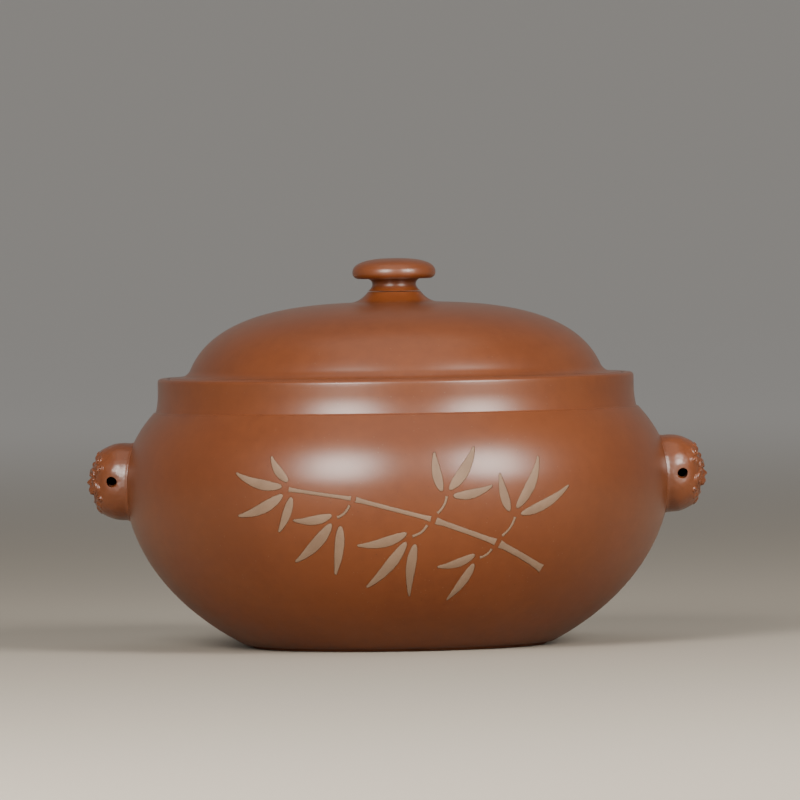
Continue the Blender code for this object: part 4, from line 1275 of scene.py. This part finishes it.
class STEAMPOT_OT_inlay_spray(bpy.types.Operator):
    """Lay the pale clay canes, twigs and leaves into their recesses"""

    bl_idname = "steam_pot.inlay_spray"
    bl_label = "Inlay the bamboo spray"

    def execute(self, context):
        bowl = BowlShape()
        depth = settings("inlay").thickness
        outline = section((BEVEL, 0.0), BEVEL_MIDDLE, (0.0, BEVEL), (0.0, depth))
        for node, spine, halves in spray_strokes(0.0):
            bar = bmesh.new()
            add_bar(bar, bowl, spine, halves, outline)
            piece = add_from_bmesh(node + "_polished", bar)
            piece.data.shade_smooth()
            piece.data.set_sharp_from_angle(angle=INLAY_ANGLE)
            clay_it(piece, clay("polished_pale_clay"))
            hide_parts(node)
            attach(piece, "pot")
        return {"FINISHED"}


def softbox(name, place, width, height, watts):
    """A rectangular soft light aimed at the pot. Right of the camera's side is a positive azimuth."""
    azimuth, elevation, distance = place
    data = bpy.data.lights.new(name, "AREA")
    data.shape = "RECTANGLE"
    data.size = width
    data.size_y = height
    data.energy = watts
    data.color = settings("studio").lamp
    lamp = add_object(name, data)
    turn, lift = math.radians(azimuth), math.radians(elevation)
    away = Vector((math.sin(turn) * math.cos(lift), -math.cos(turn) * math.cos(lift), math.sin(lift)))
    lamp.location = LAMP_AIM + away * distance
    lamp.rotation_euler = away.to_track_quat("Z", "Y").to_euler()


class STEAMPOT_OT_set_stage(bpy.types.Operator):
    """Set the pale floor, the round backdrop, the soft lights and the camera"""

    bl_idname = "steam_pot.set_stage"
    bl_label = "Set the stage"

    def execute(self, context):
        s = settings("studio")
        profile = [(radius, 0.0) for radius in FLOOR_RADII]
        profile += arc((FLOOR_RADII[-1], BACKDROP_SWEEP), BACKDROP_SWEEP, -90, 0, BACKDROP_POINTS)[1:]
        profile.append(BACKDROP_EDGE)
        stage = turned("stage_floor", profile, STAGE_STEPS)
        clay_it(stage, stage_material())

        world = bpy.data.worlds.new("studio_light")
        world.use_nodes = True
        sky = world.node_tree.nodes["Background"]
        sky.inputs["Color"].default_value = SKY_COLOUR
        sky.inputs["Strength"].default_value = s.sky
        context.scene.world = world
        softbox("softbox_left", LEFT_BOX, s.box_width, s.box_height, s.key)
        softbox("softbox_right", RIGHT_BOX, s.box_width, s.box_height, s.second)
        softbox("overhead", OVERHEAD, OVERHEAD_WIDTH, OVERHEAD_WIDTH, s.overhead)

        data = bpy.data.cameras.new("camera")
        data.sensor_width = SENSOR_WIDTH
        data.lens = data.sensor_width * s.distance / s.view_width
        data.clip_start, data.clip_end = CLIPPING
        camera = add_object("camera", data)
        aim = Vector((s.aim_across, 0.0, s.aim_height))
        camera.location = (s.aim_across, -s.distance, s.eye_height)
        look = (aim - camera.location).to_track_quat("-Z", "Y")
        camera.rotation_euler = (look.to_matrix().to_4x4() @ Matrix.Rotation(-s.roll, 4, "Z")).to_euler()
        context.scene.camera = camera
        return {"FINISHED"}


STEPS = (
    STEAMPOT_OT_set_stage,
    STEAMPOT_OT_throw_bowl,
    STEAMPOT_OT_throw_chimney,
    STEAMPOT_OT_throw_lid,
    STEAMPOT_OT_turn_knob,
    STEAMPOT_OT_press_heads,
    STEAMPOT_OT_inlay_spray,
)
GROUPS = {
    "bowl": BowlSizes,
    "chimney": ChimneySizes,
    "lid": LidSizes,
    "lugs": LugSizes,
    "inlay": InlaySizes,
    "colours": ClayColours,
    "studio": StudioSettings,
}


class STEAMPOT_PT_panel(bpy.types.Panel):
    """Every size and step of the steam pot"""

    bl_label = "Steam Pot"
    bl_idname = "STEAMPOT_PT_panel"
    bl_space_type = "VIEW_3D"
    bl_region_type = "UI"
    bl_category = "Steam Pot"

    def draw(self, context):
        for step in STEPS:
            self.layout.operator(step.bl_idname)
        for group in GROUPS:
            box = self.layout.box()
            box.label(text=group.capitalize())
            for name in GROUPS[group].__annotations__:
                box.prop(settings(group), name)


def register():
    for made in (*GROUPS.values(), *STEPS, STEAMPOT_PT_panel):
        bpy.utils.register_class(made)
    for group, kind in GROUPS.items():
        setattr(bpy.types.Scene, "steam_pot_" + group, PointerProperty(type=kind))


def unregister():
    for group in GROUPS:
        delattr(bpy.types.Scene, "steam_pot_" + group)
    for made in reversed((*GROUPS.values(), *STEPS, STEAMPOT_PT_panel)):
        bpy.utils.unregister_class(made)


def main():
    register()
    bpy.ops.steam_pot.set_stage()
    bpy.ops.steam_pot.throw_bowl()
    bpy.ops.steam_pot.throw_chimney()
    bpy.ops.steam_pot.throw_lid()
    bpy.ops.steam_pot.turn_knob()
    bpy.ops.steam_pot.press_heads()
    bpy.ops.steam_pot.inlay_spray()


if __name__ == "__main__":
    main()
